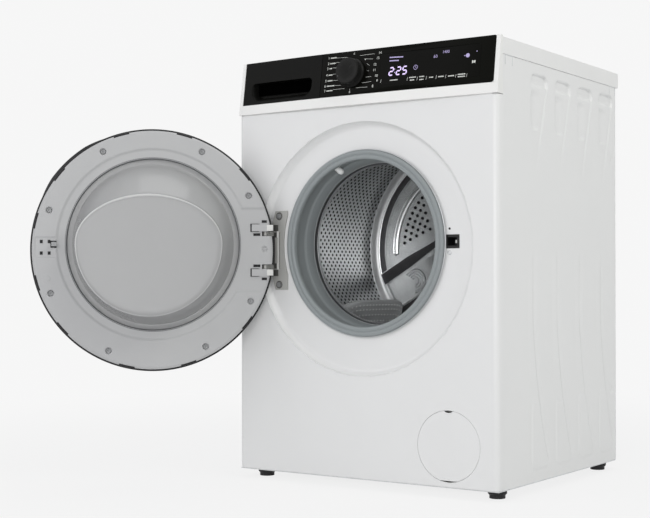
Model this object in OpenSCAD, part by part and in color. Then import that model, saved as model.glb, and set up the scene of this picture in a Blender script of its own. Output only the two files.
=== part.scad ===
// Front load washing machine, door standing open.
// Millimetres, +Z up, -Y to the front, origin on the floor midway between the four feet.

/* [Cabinet] */
// Width over the side panels
cab_w = 597; // [560:1:620]
// Height from the floor to the top of the worktop
cab_h = 850; // [820:1:900]
// Depth of the side panels, measured from the front panel
cab_d = 545; // [530:1:640]
// Sheet steel thickness
sheet = 0.9; // [0.7:0.1:1.6]
// Radius of the front panel's upright edges
edge_r = 11; // [6:1:11]
// Distance from the front face back to the side seams
seam_back = 12; // [12:0.5:14]
// Height of the panels above the floor
floor_gap = 18; // [15:1:24]
// Number of pressed ribs in each side panel
rib_count = 4; // [1:1:4]
// Width of a rib at its wide ends
rib_w = 72; // [40:1:80]
// Pitch of the ribs
rib_pitch = 108; // [95:1:110]
// Depth of the ribs
rib_depth = 2.5; // [1:0.5:4]

/* [Worktop] */
// Thickness of the worktop
top_t = 31; // [22:1:36]
// How far the worktop passes the rear edge of the sides
top_overhang = 15; // [13:1:30]
// Front edge of the worktop behind the front face
top_front = 22; // [20:1:26]

/* [Feet] */
// Radius of a foot's pad
foot_r = 18; // [12:1:22]
// Radius of a foot's threaded stem
foot_stem_r = 5; // [4:0.5:6]
// Length of stem above the base plate
foot_stem_up = 34; // [24:1:40]
// Foot centre from the side panel's outer face
foot_side = 30; // [26:1:40]
// Front foot centre behind the front face
foot_front = 54; // [40:1:70]
// Rear foot centre in front of the sides' rear edge
foot_rear = 30; // [26:1:50]

/* [Control panel] */
// Height of the control panel's lower edge
panel_z = 745; // [735:1:748]
// White strip below the black fascia
strip_h = 20; // [14:1:24]
// How far the panel rises above the worktop
panel_rise = 3; // [0:0.5:5]
// Lean of the panel's face from bottom to top
panel_lean = 16; // [8:1:20]
// Bow of the panel's face in plan
panel_bow = 9; // [4:1:14]
// Stand of the bottom of the face before the front panel, at mid width
panel_proud = 10; // [9:1:14]
// Thickness of the fascia and the drawer front
fascia_t = 3; // [2:0.5:4]
// White margin left beside the fascia at each end
fascia_end = 9; // [6:1:14]
// Place of the seam between drawer front and fascia
drawer_seam_x = -92; // [-110:1:-80]
// Place of the programme knob
knob_x = -18; // [-22:1:-10]
// Height of the programme knob
knob_z = 808; // [804:1:812]
// Radius of the knob's skirt
knob_r = 29; // [22:1:32]
// Radius of the knob's cap
knob_cap_r = 24; // [16:1:26]
// Height of the knob
knob_h = 20; // [14:1:26]
// Width of the display window
window_w = 216; // [150:1:220]
// Height of the display window
window_h = 62; // [40:1:70]

/* [Detergent drawer] */
// Inner depth of the tray from front to back
tray_len = 225; // [195:1:230]
// Height of the tray
tray_h = 48; // [40:1:52]
// Wall of the tray and its housing
tray_wall = 2; // [1.5:0.5:3]
// Travel of the drawer
drawer_travel = 185; // [120:1:190]

/* [Door] */
// Radius of the door
door_r = 242; // [230:1:243]
// Height of the door's centre
dish_z = 466; // [460:1:470]
// Radius of the recess in the front panel
dish_r = 247; // [246:1:252]
// Depth of the recess
dish_depth = 15; // [15:1:17]
// Radius of the recess floor
dish_floor_r = 230; // [229:1:232]
// How far the closed door stands before the front panel
door_front = 22; // [20:1:24]
// Back face of the door behind the front panel's face
door_back = 2; // [1:0.5:2]
// Angle at which the door stands open
door_open = 138; // [60:1:140]
// Hinge axis left of the door's centre
hinge_x = 224; // [222:1:226]
// Hinge axis before the front panel's face
hinge_y = 10; // [9:0.5:11]
// Radius of the hinge pins
hinge_pin_r = 3; // [2.5:0.5:3]
// Half the distance between the two hinge arms
arm_half = 45; // [40:1:50]
// Height of a hinge arm
arm_h = 14; // [10:1:16]
// Radius of the door window
window_r = 190; // [180:1:194]
// Depth of the glass bowl behind the door
bowl_depth = 72; // [60:1:74]
// Radius of the bowl's mouth
bowl_r = 160; // [150:1:160]
// Radius of the bowl's flat end
bowl_end_r = 148; // [140:1:149]
// Thickness of the glass
glass_t = 5; // [4:0.5:6]
// Place of the latch
latch_x = 197; // [195:1:199]

/* [Porthole and gasket] */
// Height of the porthole and drum axis
port_z = 477; // [474:1:480]
// Radius of the porthole in the front panel
port_r = 174; // [172:1:175]
// Outer radius of the gasket's front ring
gasket_r = 181.5; // [180:0.5:183]
// Inner radius of the gasket's front ring
gasket_in = 163; // [162:0.5:165]

/* [Drum and tub] */
// Outer radius of the drum
drum_r = 243; // [235:1:244]
// Drum wall
drum_wall = 1; // [0.8:0.1:1.5]
// Radius of the drum's mouth
mouth_r = 157; // [152:1:159]
// Front of the drum behind the front face
drum_front = 80; // [78:1:84]
// Depth of the drum
drum_len = 345; // [320:1:350]
// Height of a lifter
lifter_h = 55; // [40:1:65]
// Number of lifters
lifter_count = 3; // [2:1:4]
// Inner radius of the tub
tub_in = 256; // [254:1:257]
// Wall of the tub
tub_wall = 4; // [3:0.5:4.5]
// Radius of the drum shaft
shaft_r = 15; // [12:0.5:16]
// Outer radius of the bearings
bearing_r = 31; // [28:0.5:32]
// Radius of the drum pulley
pulley_r = 140; // [120:1:145]
// Radius of the motor pulley
motor_pulley_r = 10; // [8:1:11]
// Radius of the motor
motor_r = 52; // [45:1:54]

/* [Suspension] */
// Travel of the tub each way
bounce = 8; // [4:1:9]
// Radius of a spring's coil, to the wire's centre
spring_r = 12; // [9:1:13]
// Radius of the spring wire
spring_wire = 1.6; // [1.2:0.1:2]
// Turns in each spring
spring_turns = 10; // [8:1:14]
// Radius of a damper's cylinder
damper_r = 15; // [13:1:16]
// Radius of a damper's rod
rod_r = 7; // [5:0.5:8]

/* [Drain] */
// Place of the pump flap
flap_x = 195; // [190:1:200]
// Height of the pump flap
flap_z = 96; // [92:1:100]
// Radius of the pump flap
flap_r = 66.2; // [60:0.1:67]
// Thickness of the pump flap
flap_t = 2.5; // [2.4:0.1:2.6]
// Radius of the drain hose
hose_r = 12; // [9:1:13]

/* [Clearances] */
// Running gap between parts that move against each other
run_gap = 0.4; // [0.35:0.05:0.5]
// Radial play of a pin or shaft in its bore
pin_gap = 0.05; // [0.02:0.01:0.08]
// Gap round the flap, the drawer front and the display window
seam_gap = 0.8; // [0.5:0.1:1]

/* [Hidden] */
$fn = 72;
half_w = cab_w / 2;
inner_w = half_w - sheet;
// depth of the front face before the origin
front_y = -(foot_front + cab_d - foot_rear) / 2;
top_z = cab_h - top_t;
panel_top = cab_h + panel_rise;
fascia_z = panel_z + strip_h;
fascia_x = half_w - fascia_end;
base_t = 2;
nut_h = 7;
base_z = floor_gap + base_t;
seam_y = seam_back + 0.5;
rear_y = cab_d;
brace_h = 17;
brace_z = top_z - brace_h - 1;

// Moves a child drawn from the front face into the part's own frame
module placed() translate([0, front_y, 0]) children();
// A cylinder along Y from y0 to y1
module along_y(r, y0, y1) translate([0, y0, 0]) rotate([-90, 0, 0]) cylinder(r = r, h = y1 - y0);
// A ring along Y
module ring_y(r_out, r_in, y0, y1) difference() {
    along_y(r_out, y0, y1);
    along_y(r_in, y0 - 1, y1 + 1);
}
// Spins a profile of [radius, depth behind the front face] about the Y axis
module spun(points, angle = 360, start = 0)
    rotate([90, 0, 0]) mirror([0, 0, 1]) rotate([0, 0, start]) rotate_extrude(angle = angle, $fn = 144) polygon(points);
// A block between two corners
module block(a, b) translate(a) cube([for (i = [0:2]) b[i] - a[i]]);
// Copies a child at left and right
module both_sides() for (s = [0, 1]) mirror([s, 0, 0]) children();
// A quarter of a round profile, as points from angle a to b about a centre
function arc(cx, cy, r, a, b, n = 6) = [for (i = [0:n]) [cx + r * cos(a + (b - a) * i / n), cy + r * sin(a + (b - a) * i / n)]];

// ---------------------------------------------------------------- cabinet

rib_top = top_z - 21;
rib_low = floor_gap + 25;
rib_mid = (rib_top + rib_low) / 2 + 35;
rib_first = 140;
bracket_z = brace_z + 2;
bracket_ys = [286, 420];
spring_x = half_w - 36;

// Outline of one rib: wide at both ends, drawn together at mid height
module rib_outline(grow) {
    narrow = 4;
    c = 12;
    polygon([[-grow, rib_low + c], [c, rib_low - grow], [rib_w - c, rib_low - grow], [rib_w + grow, rib_low + c],
        [rib_w + grow, rib_low + 2 * c], [narrow + grow, rib_mid], [rib_w + grow, rib_top - 2 * c],
        [rib_w + grow, rib_top - c], [rib_w - c, rib_top + grow], [c, rib_top + grow], [-grow, rib_top - c]]);
}

module ribs(grow, x0, x1) for (i = [0:rib_count - 1])
    translate([x0, rib_first + i * rib_pitch, 0]) rotate([90, 0, 90]) linear_extrude(x1 - x0) rib_outline(grow);

// The right-hand side panel; the left one is its mirror image
module side_panel() placed() {
    difference() {
        union() {
            block([inner_w, seam_y, floor_gap], [half_w, rear_y, top_z]);
            block([inner_w - 14, seam_y, base_z], [inner_w, seam_y + sheet, top_z]);
            block([inner_w - 14, rear_y - sheet, base_z], [inner_w, rear_y, top_z]);
            ribs(sheet, inner_w - rib_depth, inner_w);
            // welded brackets that the springs hook into
            for (y = bracket_ys) difference() {
                block([spring_x - 14, y - 14, bracket_z], [inner_w, y + 14, bracket_z + 3]);
                translate([spring_x + 8, y, bracket_z - 1]) cylinder(r = 3, h = 6);
            }
        }
        ribs(0, half_w - rib_depth, half_w + 1);
        // room for the cheek of the control panel
        block([inner_w - 15, seam_y - 1, front_top + 0.5], [half_w + 1, top_front + 0.5, top_z + 1]);
    }
}
module side_panel_right() color("whitesmoke") side_panel();
module side_panel_left() color("whitesmoke") mirror([1, 0, 0]) side_panel();

transit_xs = [-190, 190];
transit_zs = [330, 600];
transit_r = 16;
cover_hole = [150, 175];
cover_rim = 12;
inlet_x = -190;
inlet_z = 775;
thread_r = 13.2;
gland_x = -40;
gland_z = 770;
gland_r = 8;
outlet_z = 690;
outlet_x = half_w - 46;
rear_z0 = floor_gap + 42;

module rear_panel() color("lightgrey") placed() {
    difference() {
        block([-inner_w, rear_y, base_z], [inner_w, rear_y + sheet, top_z]);
        block([-cover_hole[0], rear_y - 1, port_z - cover_hole[1]], [cover_hole[0], rear_y + 5, port_z + cover_hole[1]]);
        for (x = transit_xs, z = transit_zs) translate([x, 0, z]) along_y(transit_r, rear_y - 1, rear_y + 5);
        translate([inlet_x, 0, inlet_z]) along_y(thread_r + 1, rear_y - 1, rear_y + 5);
        translate([gland_x, 0, gland_z]) along_y(gland_r, rear_y - 1, rear_y + 5);
        translate([outlet_x, 0, outlet_z]) along_y(hose_r + 1, rear_y - 1, rear_y + 5);
        // cooling louvres
        for (i = [0:5]) block([60, rear_y - 1, 100 + 14 * i], [180, rear_y + 5, 104 + 14 * i]);
    }
}

// Cover over the belt, with a round swelling that clears the pulley
module access_cover() color("gainsboro") placed() {
    y0 = rear_y + sheet;
    hx = cover_hole[0] + cover_rim;
    hz = cover_hole[1] + cover_rim;
    difference() {
        union() {
            block([-hx, y0, port_z - hz], [hx, y0 + sheet, port_z + hz]);
            translate([0, 0, port_z]) along_y(134, y0, y0 + 9);
        }
        translate([0, 0, port_z]) along_y(134 - sheet, y0 - 1, y0 + 9 - sheet);
        for (x = [-1, 1], z = [-1, 1])
            translate([x * (hx - 6), 0, port_z + z * (hz - 6)]) along_y(2.6, y0 - 1, y0 + 3);
    }
}

feet_x = half_w - foot_side;
feet_ys = [foot_front, cab_d - foot_rear];
rail_ys = [230, 400];
rail_h = 16;
damper_x = 150;
module at_feet() for (x = [-feet_x, feet_x], y = feet_ys) translate([x, y, 0]) children();

// Floor frame: a ring of plate with two raised rails for the dampers
module base_frame() color("silver") placed() {
    strip = 58;
    difference() {
        union() {
            difference() {
                block([-inner_w, 4, floor_gap], [inner_w, rear_y - sheet, base_z]);
                block([-inner_w + strip, 4 + strip + 12, 0], [inner_w - strip, rear_y - strip, 60]);
            }
            for (y = rail_ys) difference() {
                block([-inner_w + 8, y - 20, base_z], [inner_w - 8, y + 20, base_z + rail_h]);
                block([-inner_w + 7, y - 18, base_z - 1], [inner_w - 7, y + 18, base_z + rail_h - base_t]);
            }
        }
        at_feet() translate([0, 0, floor_gap - 1]) cylinder(r = foot_stem_r + pin_gap, h = 60);
    }
}

foot_taper = 3;
// Rubber pad on a threaded stem
module foot() {
    rotate_extrude() polygon([[0, 0], [foot_r - foot_taper, 0], [foot_r - foot_taper, 6], [foot_r, 9], [foot_r, floor_gap - 3],
        [foot_r - 2, floor_gap], [foot_stem_r, floor_gap], [foot_stem_r, base_z + foot_stem_up], [0, base_z + foot_stem_up]]);
}
// Lock nut on the base plate
module foot_nut() translate([0, 0, base_z]) difference() {
    cylinder(r = foot_stem_r * 1.9, h = nut_h, $fn = 6);
    translate([0, 0, -1]) cylinder(r = foot_stem_r + pin_gap, h = nut_h + 2);
}
module feet() color("#1c1c1e") placed() at_feet() {
    foot();
    foot_nut();
}

front_brace_y = 32;
rear_brace_y = rear_y - sheet - 30;
module brace(y) difference() {
    block([-inner_w, y, brace_z], [inner_w, y + 30, top_z]);
    block([-inner_w - 1, y + sheet * 1.5, brace_z - 1], [inner_w + 1, y + 30 - sheet * 1.5, top_z - sheet * 1.5]);
}
// The two upper cross members
module cross_braces() color("silver") placed() {
    difference() {
        brace(front_brace_y);
        // room for the detergent drawer and its housing
        block([-half_w, 0, house_z0], [house_x1 + 1, front_brace_y + 31, house_z1 + 0.5]);
    }
    brace(rear_brace_y);
}

worktop_screw_x = half_w - 60;
module worktop() color("white") placed() difference() {
    block([-half_w, top_front, top_z], [half_w, cab_d + top_overhang, cab_h]);
    for (x = [-worktop_screw_x, worktop_screw_x])
        translate([x, rear_brace_y + 15, top_z - 1]) cylinder(r = 2.5, h = 13);
    // rebate over the drawer housing
    block([house_x0 - 1, top_front - 1, top_z - 1], [house_x1 + 1, house_y1 + 2, house_z1 + 0.5]);
}

// ---------------------------------------------------------------- front

// Plan of the front panel, with round upright edges, drawn in by i
module front_plan(i) intersection() {
    union() {
        translate([-half_w + edge_r, i]) square([cab_w - 2 * edge_r, seam_back - i]);
        translate([-half_w + i, edge_r]) square([cab_w - 2 * i, seam_back - edge_r]);
        for (s = [-1, 1]) translate([s * (half_w - edge_r), edge_r]) circle(r = edge_r - i);
    }
    translate([-half_w, 0]) square([cab_w, seam_back]);
}
front_top = panel_z - 1;
flap_gap = 1.5;
lock_w = 28;
lock_h = 26;
hinge_screw_x = -hinge_x + 19;
hinge_screw_dz = 69.5;

module front_panel() color("white") placed() {
    difference() {
        union() {
            difference() {
                translate([0, 0, base_z]) linear_extrude(front_top - base_z) front_plan(0);
                translate([0, 0, base_z + sheet]) linear_extrude(front_top - base_z - 2 * sheet) {
                    front_plan(sheet);
                    translate([-half_w + sheet, edge_r]) square([cab_w - 2 * sheet, seam_back - edge_r + 1]);
                }
                translate([0, 0, dish_z]) along_y(dish_r, -1, sheet + 1);
            }
            // the dished recess and the rolled edge of the porthole
            translate([0, 0, dish_z]) spun(concat(
                [[dish_r, 0]], arc(dish_floor_r, 0, dish_r - dish_floor_r, 0, 62, 5),
                [[dish_floor_r, dish_depth], [dish_floor_r - 6, dish_depth], [dish_floor_r - 6, dish_depth + sheet],
                [dish_floor_r, dish_depth + sheet]],
                arc(dish_floor_r, 0, dish_r - dish_floor_r + sheet, 62, 4.5, 5)));
            difference() {
                translate([0, 0, dish_z]) along_y(dish_floor_r - 6, dish_depth, dish_depth + sheet);
                translate([0, 0, port_z]) along_y(port_r, 0, 30);
            }
            translate([0, 0, port_z]) ring_y(port_r + sheet, port_r, dish_depth + sheet, dish_depth + 8);
        }
        translate([flap_x, 0, flap_z]) along_y(flap_r + flap_gap, -1, sheet + 1);
        // room for the lugs of the flap's hinge
        block([flap_x - lug_x1 - 0.5, -1, flap_hinge_z - 2.5], [flap_x + lug_x1 + 0.5, sheet + 1, flap_z - flap_r + 3]);
        block([latch_x - lock_w / 2, dish_depth - 1, port_z - lock_h / 2], [latch_x + lock_w / 2, dish_depth + 3, port_z + lock_h / 2]);
        for (s = [-1, 1]) translate([hinge_screw_x, 0, dish_z + s * hinge_screw_dz]) along_y(2.55, dish_depth - 1, dish_depth + 3);
    }
}

// Lock behind the recess, with the slot that the door's hook enters
module door_lock() color("#18181a") placed() difference() {
    union() {
        block([latch_x - lock_w / 2, dish_depth - 0.5, port_z - lock_h / 2], [latch_x + lock_w / 2, dish_depth + sheet, port_z + lock_h / 2]);
        block([latch_x - lock_w / 2 - 6, dish_depth + sheet, port_z - 34], [latch_x + lock_w / 2 + 4, dish_depth + 32, port_z + 30]);
    }
    block([latch_x - 11, 0, port_z - 8], [latch_x + 9, dish_depth + 26, port_z + 8]);
}

// The lug's centre heights, next to the inner sides of the arms
lug_h = 8;
function lug_z(s) = dish_z + s * (arm_half - arm_h / 2 - run_gap - lug_h / 2);
plate_y = dish_depth - 3;
plate_half = 80;
module hinge_plate() color("silver") placed() difference() {
    union() {
        difference() {
            intersection() {
                block([-hinge_x - 3, plate_y, dish_z - plate_half], [-hinge_x + 52, dish_depth, dish_z + plate_half]);
                translate([0, 0, dish_z]) along_y(dish_floor_r - 1, 0, 20);
            }
            translate([0, 0, port_z]) along_y(gasket_r + 4.5, 0, 20);
        }
        block([-hinge_x + 12, plate_y - 6, dish_z - 26], [-hinge_x + 18, plate_y, dish_z + 26]);
        for (s = [-1, 1]) translate([-hinge_x, 0, lug_z(s) - lug_h / 2]) {
            translate([0, -hinge_y, 0]) cylinder(r = hinge_pin_r + 2.5, h = lug_h);
            block([-hinge_pin_r, -hinge_y, 0], [hinge_pin_r + 2.5, plate_y, lug_h]);
        }
    }
    for (s = [-1, 1]) {
        translate([-hinge_x, -hinge_y, lug_z(s) - lug_h]) cylinder(r = hinge_pin_r + 0.01, h = 2 * lug_h);
        translate([hinge_screw_x, 0, dish_z + s * hinge_screw_dz]) along_y(2.55, 0, 20);
    }
}
// Two short pins, each held in a lug and running in an arm
module hinge_pins() color("grey") placed() for (s = [-1, 1]) {
    pin_len = lug_h + arm_h + run_gap;
    mid = lug_z(s) + s * (pin_len - lug_h) / 2;
    translate([-hinge_x, -hinge_y, mid - pin_len / 2]) cylinder(r = hinge_pin_r, h = pin_len);
}

gasket_y0 = dish_depth - 10;
neck_r = port_r - 2;
neck_y = drum_front - 22;
// Rubber bellows between the front panel and the tub
module gasket() color("#9aa0a4") placed() translate([0, 0, port_z]) difference() {
    spun(concat([[gasket_r, dish_depth]], arc(gasket_r - 3, gasket_y0 + 3, 3, 0, -90, 3),
        [[gasket_in + 4, gasket_y0]], arc(gasket_in + 3, gasket_y0 + 3, 3, -90, -180, 3),
        [[gasket_in, dish_depth + 2], [port_r - 6, dish_depth + 6], [port_r - 6, dish_depth + 14],
        [gasket_in + 2, dish_depth + 22], [gasket_in, dish_depth + 27], [gasket_in + 1, neck_y + 6],
        [neck_r - 0.3, neck_y + 12], [neck_r - 0.3, neck_y - 0.3],
        [neck_r + tub_wall + 0.3, neck_y - 0.3], [neck_r + tub_wall + 0.3, neck_y + 13], [neck_r + tub_wall + 3, neck_y + 13],
        [neck_r + tub_wall + 3, neck_y - 3], [port_r - 1, dish_depth + 24], [port_r - 3, dish_depth + 18],
        [port_r - 3, dish_depth + 10], [port_r - 0.3, dish_depth + 8], [port_r - 0.3, dish_depth]]));
    rotate([0, nozzle_turn, 0]) translate([0, nozzle_y, gasket_in - 6]) cylinder(r = nozzle_r + 0.3, h = 20);
}
nozzle_turn = -27;
nozzle_y = dish_depth + 14;
nozzle_r = 5;
// Spray nozzle that passes through the top of the gasket
module spray_nozzle() color("white") placed() translate([0, 0, port_z]) rotate([0, nozzle_turn, 0])
    translate([0, nozzle_y, port_r - 17]) {
        cylinder(r = nozzle_r, h = 27);
        translate([0, 0, 19]) cylinder(r = nozzle_r + 2, h = 2);
    }
// Wire that holds the gasket's front ring
module gasket_clamp() color("silver") placed() translate([0, dish_depth - 4, port_z]) rotate([90, 0, 0])
    rotate_extrude($fn = 144) translate([gasket_r + 1.5, 0]) circle(r = 1.2, $fn = 24);

// ---------------------------------------------------------------- control panel

bow_r = half_w * half_w / (2 * panel_bow) + panel_bow / 2;
// The leaning, bowed face, drawn in by inset, between x0..x1 and z0..z1, back to y1
module face_form(inset, x0, x1, z0, z1, y1) intersection() {
    block([x0, -40, z0], [x1, y1, z1]);
    translate([0, bow_r - panel_proud, panel_z])
        cylinder(r1 = bow_r - inset, r2 = bow_r - panel_lean - inset, h = panel_top - panel_z, $fn = 1440);
}
// Depth of the face at mid height of the fascia, near x
face_mid_z = (fascia_z + panel_top) / 2;
lean_angle = atan(panel_lean / (panel_top - panel_z));
function face_y(x, z) = -panel_proud + panel_lean * (z - panel_z) / (panel_top - panel_z) + x * x / (2 * bow_r);

window_x0 = 45;
window_z0 = face_mid_z - window_h / 2;
drawer_x0 = -fascia_x + 4;
drawer_x1 = drawer_seam_x - 5;
tray_x0 = drawer_x0 + 8;
tray_x1 = drawer_x1 - 8;
tray_z0 = fascia_z + 6;
tray_y0 = 8;
tray_y1 = tray_y0 + tray_len;
house_x0 = drawer_x0 - 1;
house_x1 = drawer_x1 + 1;
house_z0 = fascia_z - 8;
house_z1 = tray_z0 + tray_h + 8;
house_y0 = top_front - 2;
house_y1 = tray_y1 + 16;
shell_t = 2.5;
seat_gap = 0.4;

// White moulded carrier for the fascia, the drawer and the boards
module control_panel() color("white") placed() difference() {
    face_form(0, -half_w, half_w, panel_z, panel_top, top_front);
    // seat of the fascia and the drawer front
    difference() {
        block([-fascia_x - seam_gap, -40, fascia_z - seat_gap], [fascia_x + seat_gap, 19, panel_top + 1]);
        face_form(fascia_t + seat_gap, -half_w, half_w, fascia_z - 1, panel_top, 30);
    }
    // hollow back
    face_form(fascia_t + shell_t + seat_gap, -half_w + shell_t, half_w - shell_t, panel_z + shell_t, panel_top - shell_t, top_front + 1);
    // mouth of the drawer
    block([drawer_x0, -40, fascia_z + 2], [drawer_x1, 18, house_z1 + 2]);
    // openings for the display and the knob's spindle
    block([window_x0 + 4, -40, window_z0 + 4], [window_x0 + window_w - 4, 15, window_z0 + window_h - 4]);
    translate([knob_x, face_y(knob_x, knob_z), knob_z]) rotate([-lean_angle, 0, 0]) along_y(6, -5, 30);
}
// Gloss black plate with the window and knob openings
module fascia() color("#141412") placed() difference() {
    face_form(0, drawer_seam_x + seam_gap, fascia_x, fascia_z, panel_top, 30);
    face_form(fascia_t, -half_w, half_w, fascia_z - 1, panel_top + 1, 31);
    block([window_x0, -40, window_z0], [window_x0 + window_w, 30, window_z0 + window_h]);
    translate([knob_x, face_y(knob_x, knob_z), knob_z]) rotate([-lean_angle, 0, 0]) along_y(6, -5, 30);
}
module display_window() color("#26262c") placed() difference() {
    face_form(0.3, window_x0 + 0.2, window_x0 + window_w - 0.2, window_z0 + 0.2, window_z0 + window_h - 0.2, 30);
    face_form(fascia_t, -half_w, half_w, fascia_z - 1, panel_top + 1, 31);
}
board_y = top_front - 3;
encoder_y = 12;
// Circuit board of the display, with the rotary encoder under the knob
module display_board() color("darkgreen") placed() {
    block([window_x0 - 10, board_y, panel_z + shell_t], [window_x0 + window_w + 6, board_y + 1.6, panel_top - shell_t]);
    block([knob_x - 22, board_y, panel_z + shell_t], [knob_x + 22, board_y + 1.6, panel_top - shell_t]);
    block([knob_x + 22, board_y, panel_z + shell_t], [window_x0 - 10, board_y + 1.6, panel_z + 20]);
    translate([knob_x, face_y(knob_x, knob_z), knob_z]) rotate([-lean_angle, 0, 0]) along_y(3, -knob_h + 5, 9);
    block([knob_x - 8, face_y(knob_x, knob_z) + 9, knob_z - 8], [knob_x + 8, board_y, knob_z + 8]);
}
// Turning knob with a stepped skirt
module program_knob() color("#1a1a1c") placed()
    translate([knob_x, face_y(knob_x, knob_z), knob_z]) rotate([-lean_angle, 0, 0]) rotate([90, 0, 0]) difference() {
        rotate_extrude() polygon([[3 + pin_gap, run_gap + 0.2], [knob_r, run_gap + 0.2], [knob_r - 1, 5], [knob_cap_r + 1, 6.5],
            [knob_cap_r, knob_h - 2], [knob_cap_r - 2, knob_h], [0, knob_h], [0, knob_h - 4.5], [3 + pin_gap, knob_h - 4.5]]);
        // pointer dot
        translate([0, knob_cap_r - 6, knob_h - 0.6]) cylinder(r = 1.6, h = 2);
    }

// ---------------------------------------------------------------- detergent drawer

pull_x0 = -fascia_x + 17;
pull_x1 = drawer_seam_x - 32;
pull_z0 = fascia_z + 10;
pull_z1 = pull_z0 + 42;
// Black front with a scooped pull, and the tray with its three compartments
module drawer() color("#1b1b1a") placed() {
    difference() {
        union() {
            difference() {
                face_form(0, -fascia_x, drawer_seam_x - seam_gap / 2, fascia_z, panel_top, 30);
                face_form(fascia_t, -half_w, half_w, fascia_z - 1, panel_top + 1, 31);
            }
            face_form(0.5, pull_x0 - 2, pull_x1 + 2, pull_z0 - 2, pull_z1 + 2, tray_y0 + 14);
        }
        block([pull_x0, -40, pull_z0], [pull_x1, tray_y0 + 12, pull_z1]);
    }
    difference() {
        block([tray_x0, tray_y0, tray_z0], [tray_x1, tray_y1, tray_z0 + tray_h]);
        // pull pocket and compartments
        block([tray_x0 + tray_wall, tray_y0 - 1, tray_z0 + tray_wall], [tray_x1 - tray_wall, tray_y0 + 16, tray_z0 + tray_h + 1]);
        for (i = [0:2]) {
            w = (tray_x1 - tray_x0 - 4 * tray_wall) / 3;
            x = tray_x0 + tray_wall + i * (w + tray_wall);
            block([x, tray_y0 + 18, tray_z0 + tray_wall], [x + w, tray_y1 - tray_wall, tray_z0 + tray_h + 1]);
        }
    }
    // ties from the front plate to the tray
    for (x = [tray_x0, tray_x1 - tray_wall])
        face_form(fascia_t - 0.5, x, x + tray_wall, tray_z0, tray_z0 + tray_h, tray_y0 + 1);
}

spout_x = -150;
spout_y = 216;
spout_r = 16;
spout_z = house_z0 - 16;
module drawer_housing() color("#d8d8d6") placed() {
    difference() {
        block([house_x0, house_y0, house_z0], [house_x1, house_y1, house_z1]);
        block([house_x0 + tray_wall, house_y0 - 1, house_z0 + tray_wall], [house_x1 - tray_wall, house_y1 - tray_wall, house_z1 - tray_wall]);
        translate([spout_x, spout_y, house_z0 - 1]) cylinder(r = spout_r - tray_wall, h = 9);
        translate([inlet_x, 0, inlet_z + 15]) along_y(5, house_y1 - 5, house_y1 + 1);
    }
    // runners under the tray
    for (x = [house_x0 + tray_wall, house_x1 - tray_wall - 7])
        block([x, house_y0, house_z0 + tray_wall], [x + 7, house_y1 - tray_wall, tray_z0 - 0.3]);
    translate([spout_x, spout_y, spout_z]) difference() {
        cylinder(r = spout_r, h = house_z0 - spout_z);
        translate([0, 0, -1]) cylinder(r = spout_r - tray_wall, h = 30);
    }
}

valve_y = rear_y - 46;
fill_z = inlet_z + 15;
// Inlet valve: block, solenoid and the threaded end that takes the fill hose
module inlet_valve() color("#e8e6e0") placed() {
    difference() {
        union() {
            block([inlet_x - 25, valve_y, inlet_z - 24], [inlet_x + 25, rear_y, brace_z - 1]);
            translate([inlet_x, 0, inlet_z]) along_y(thread_r, rear_y, cab_d + top_overhang - 1);
        }
        translate([inlet_x, 0, inlet_z]) along_y(9, rear_y - 10, rear_y + 30);
    }
    translate([inlet_x + 25, valve_y + 22, inlet_z]) rotate([0, 90, 0]) cylinder(r = 15, h = 30);
}
module fill_hose() color("#303234") placed() translate([inlet_x, 0, fill_z]) ring_y(8, 5, house_y1, valve_y);

inlet_neck_z = port_z + 236;
// Folded rubber hose from the drawer housing down to the tub
module dispenser_hose() color("#2c2d30") placed() translate([spout_x, spout_y, 0]) rotate_extrude() {
    gap = spout_z - inlet_neck_z;
    n = 4;
    outer = [for (i = [0:2 * n]) [spout_r + (i % 2 == 0 ? 0.3 : 5), inlet_neck_z + gap * i / (2 * n)]];
    inner = [for (i = [2 * n:-1:0]) [spout_r - (i % 2 == 0 ? 2.2 : -2.5), inlet_neck_z + gap * i / (2 * n)]];
    polygon(concat(outer, inner));
}

// Electronics box, hung on the rear cross member
module control_box() color("#cfd2d4") placed() difference() {
    block([60, rear_brace_y - 110, top_z - 62], [200, rear_brace_y, top_z - 4]);
    block([63, rear_brace_y - 107, top_z - 59], [197, rear_brace_y - 3, top_z - 7]);
}

// ---------------------------------------------------------------- tub and what rides on it

tub_r = tub_in + tub_wall;
flange_r = tub_r + 12;
tub_seam = drum_front + 100;
drum_back_y = drum_front + drum_len;
tub_back = drum_back_y + 22;
hub_r = bearing_r + 8;
hub_end = tub_back + 36;
wall_y = drum_front + 12;
bolt_ring = tub_r + 6;
bolt_count = 10;
sump_x0 = 12;
sump_x1 = 110;
sump_z = port_z - tub_r - 22;
weight_y0 = dish_depth + 22;
weight_y1 = drum_front - 12;
weight_ring = [190, 246];
boss_angles = [-125, -55, 55, 125];
boss_ring = 218;

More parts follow.
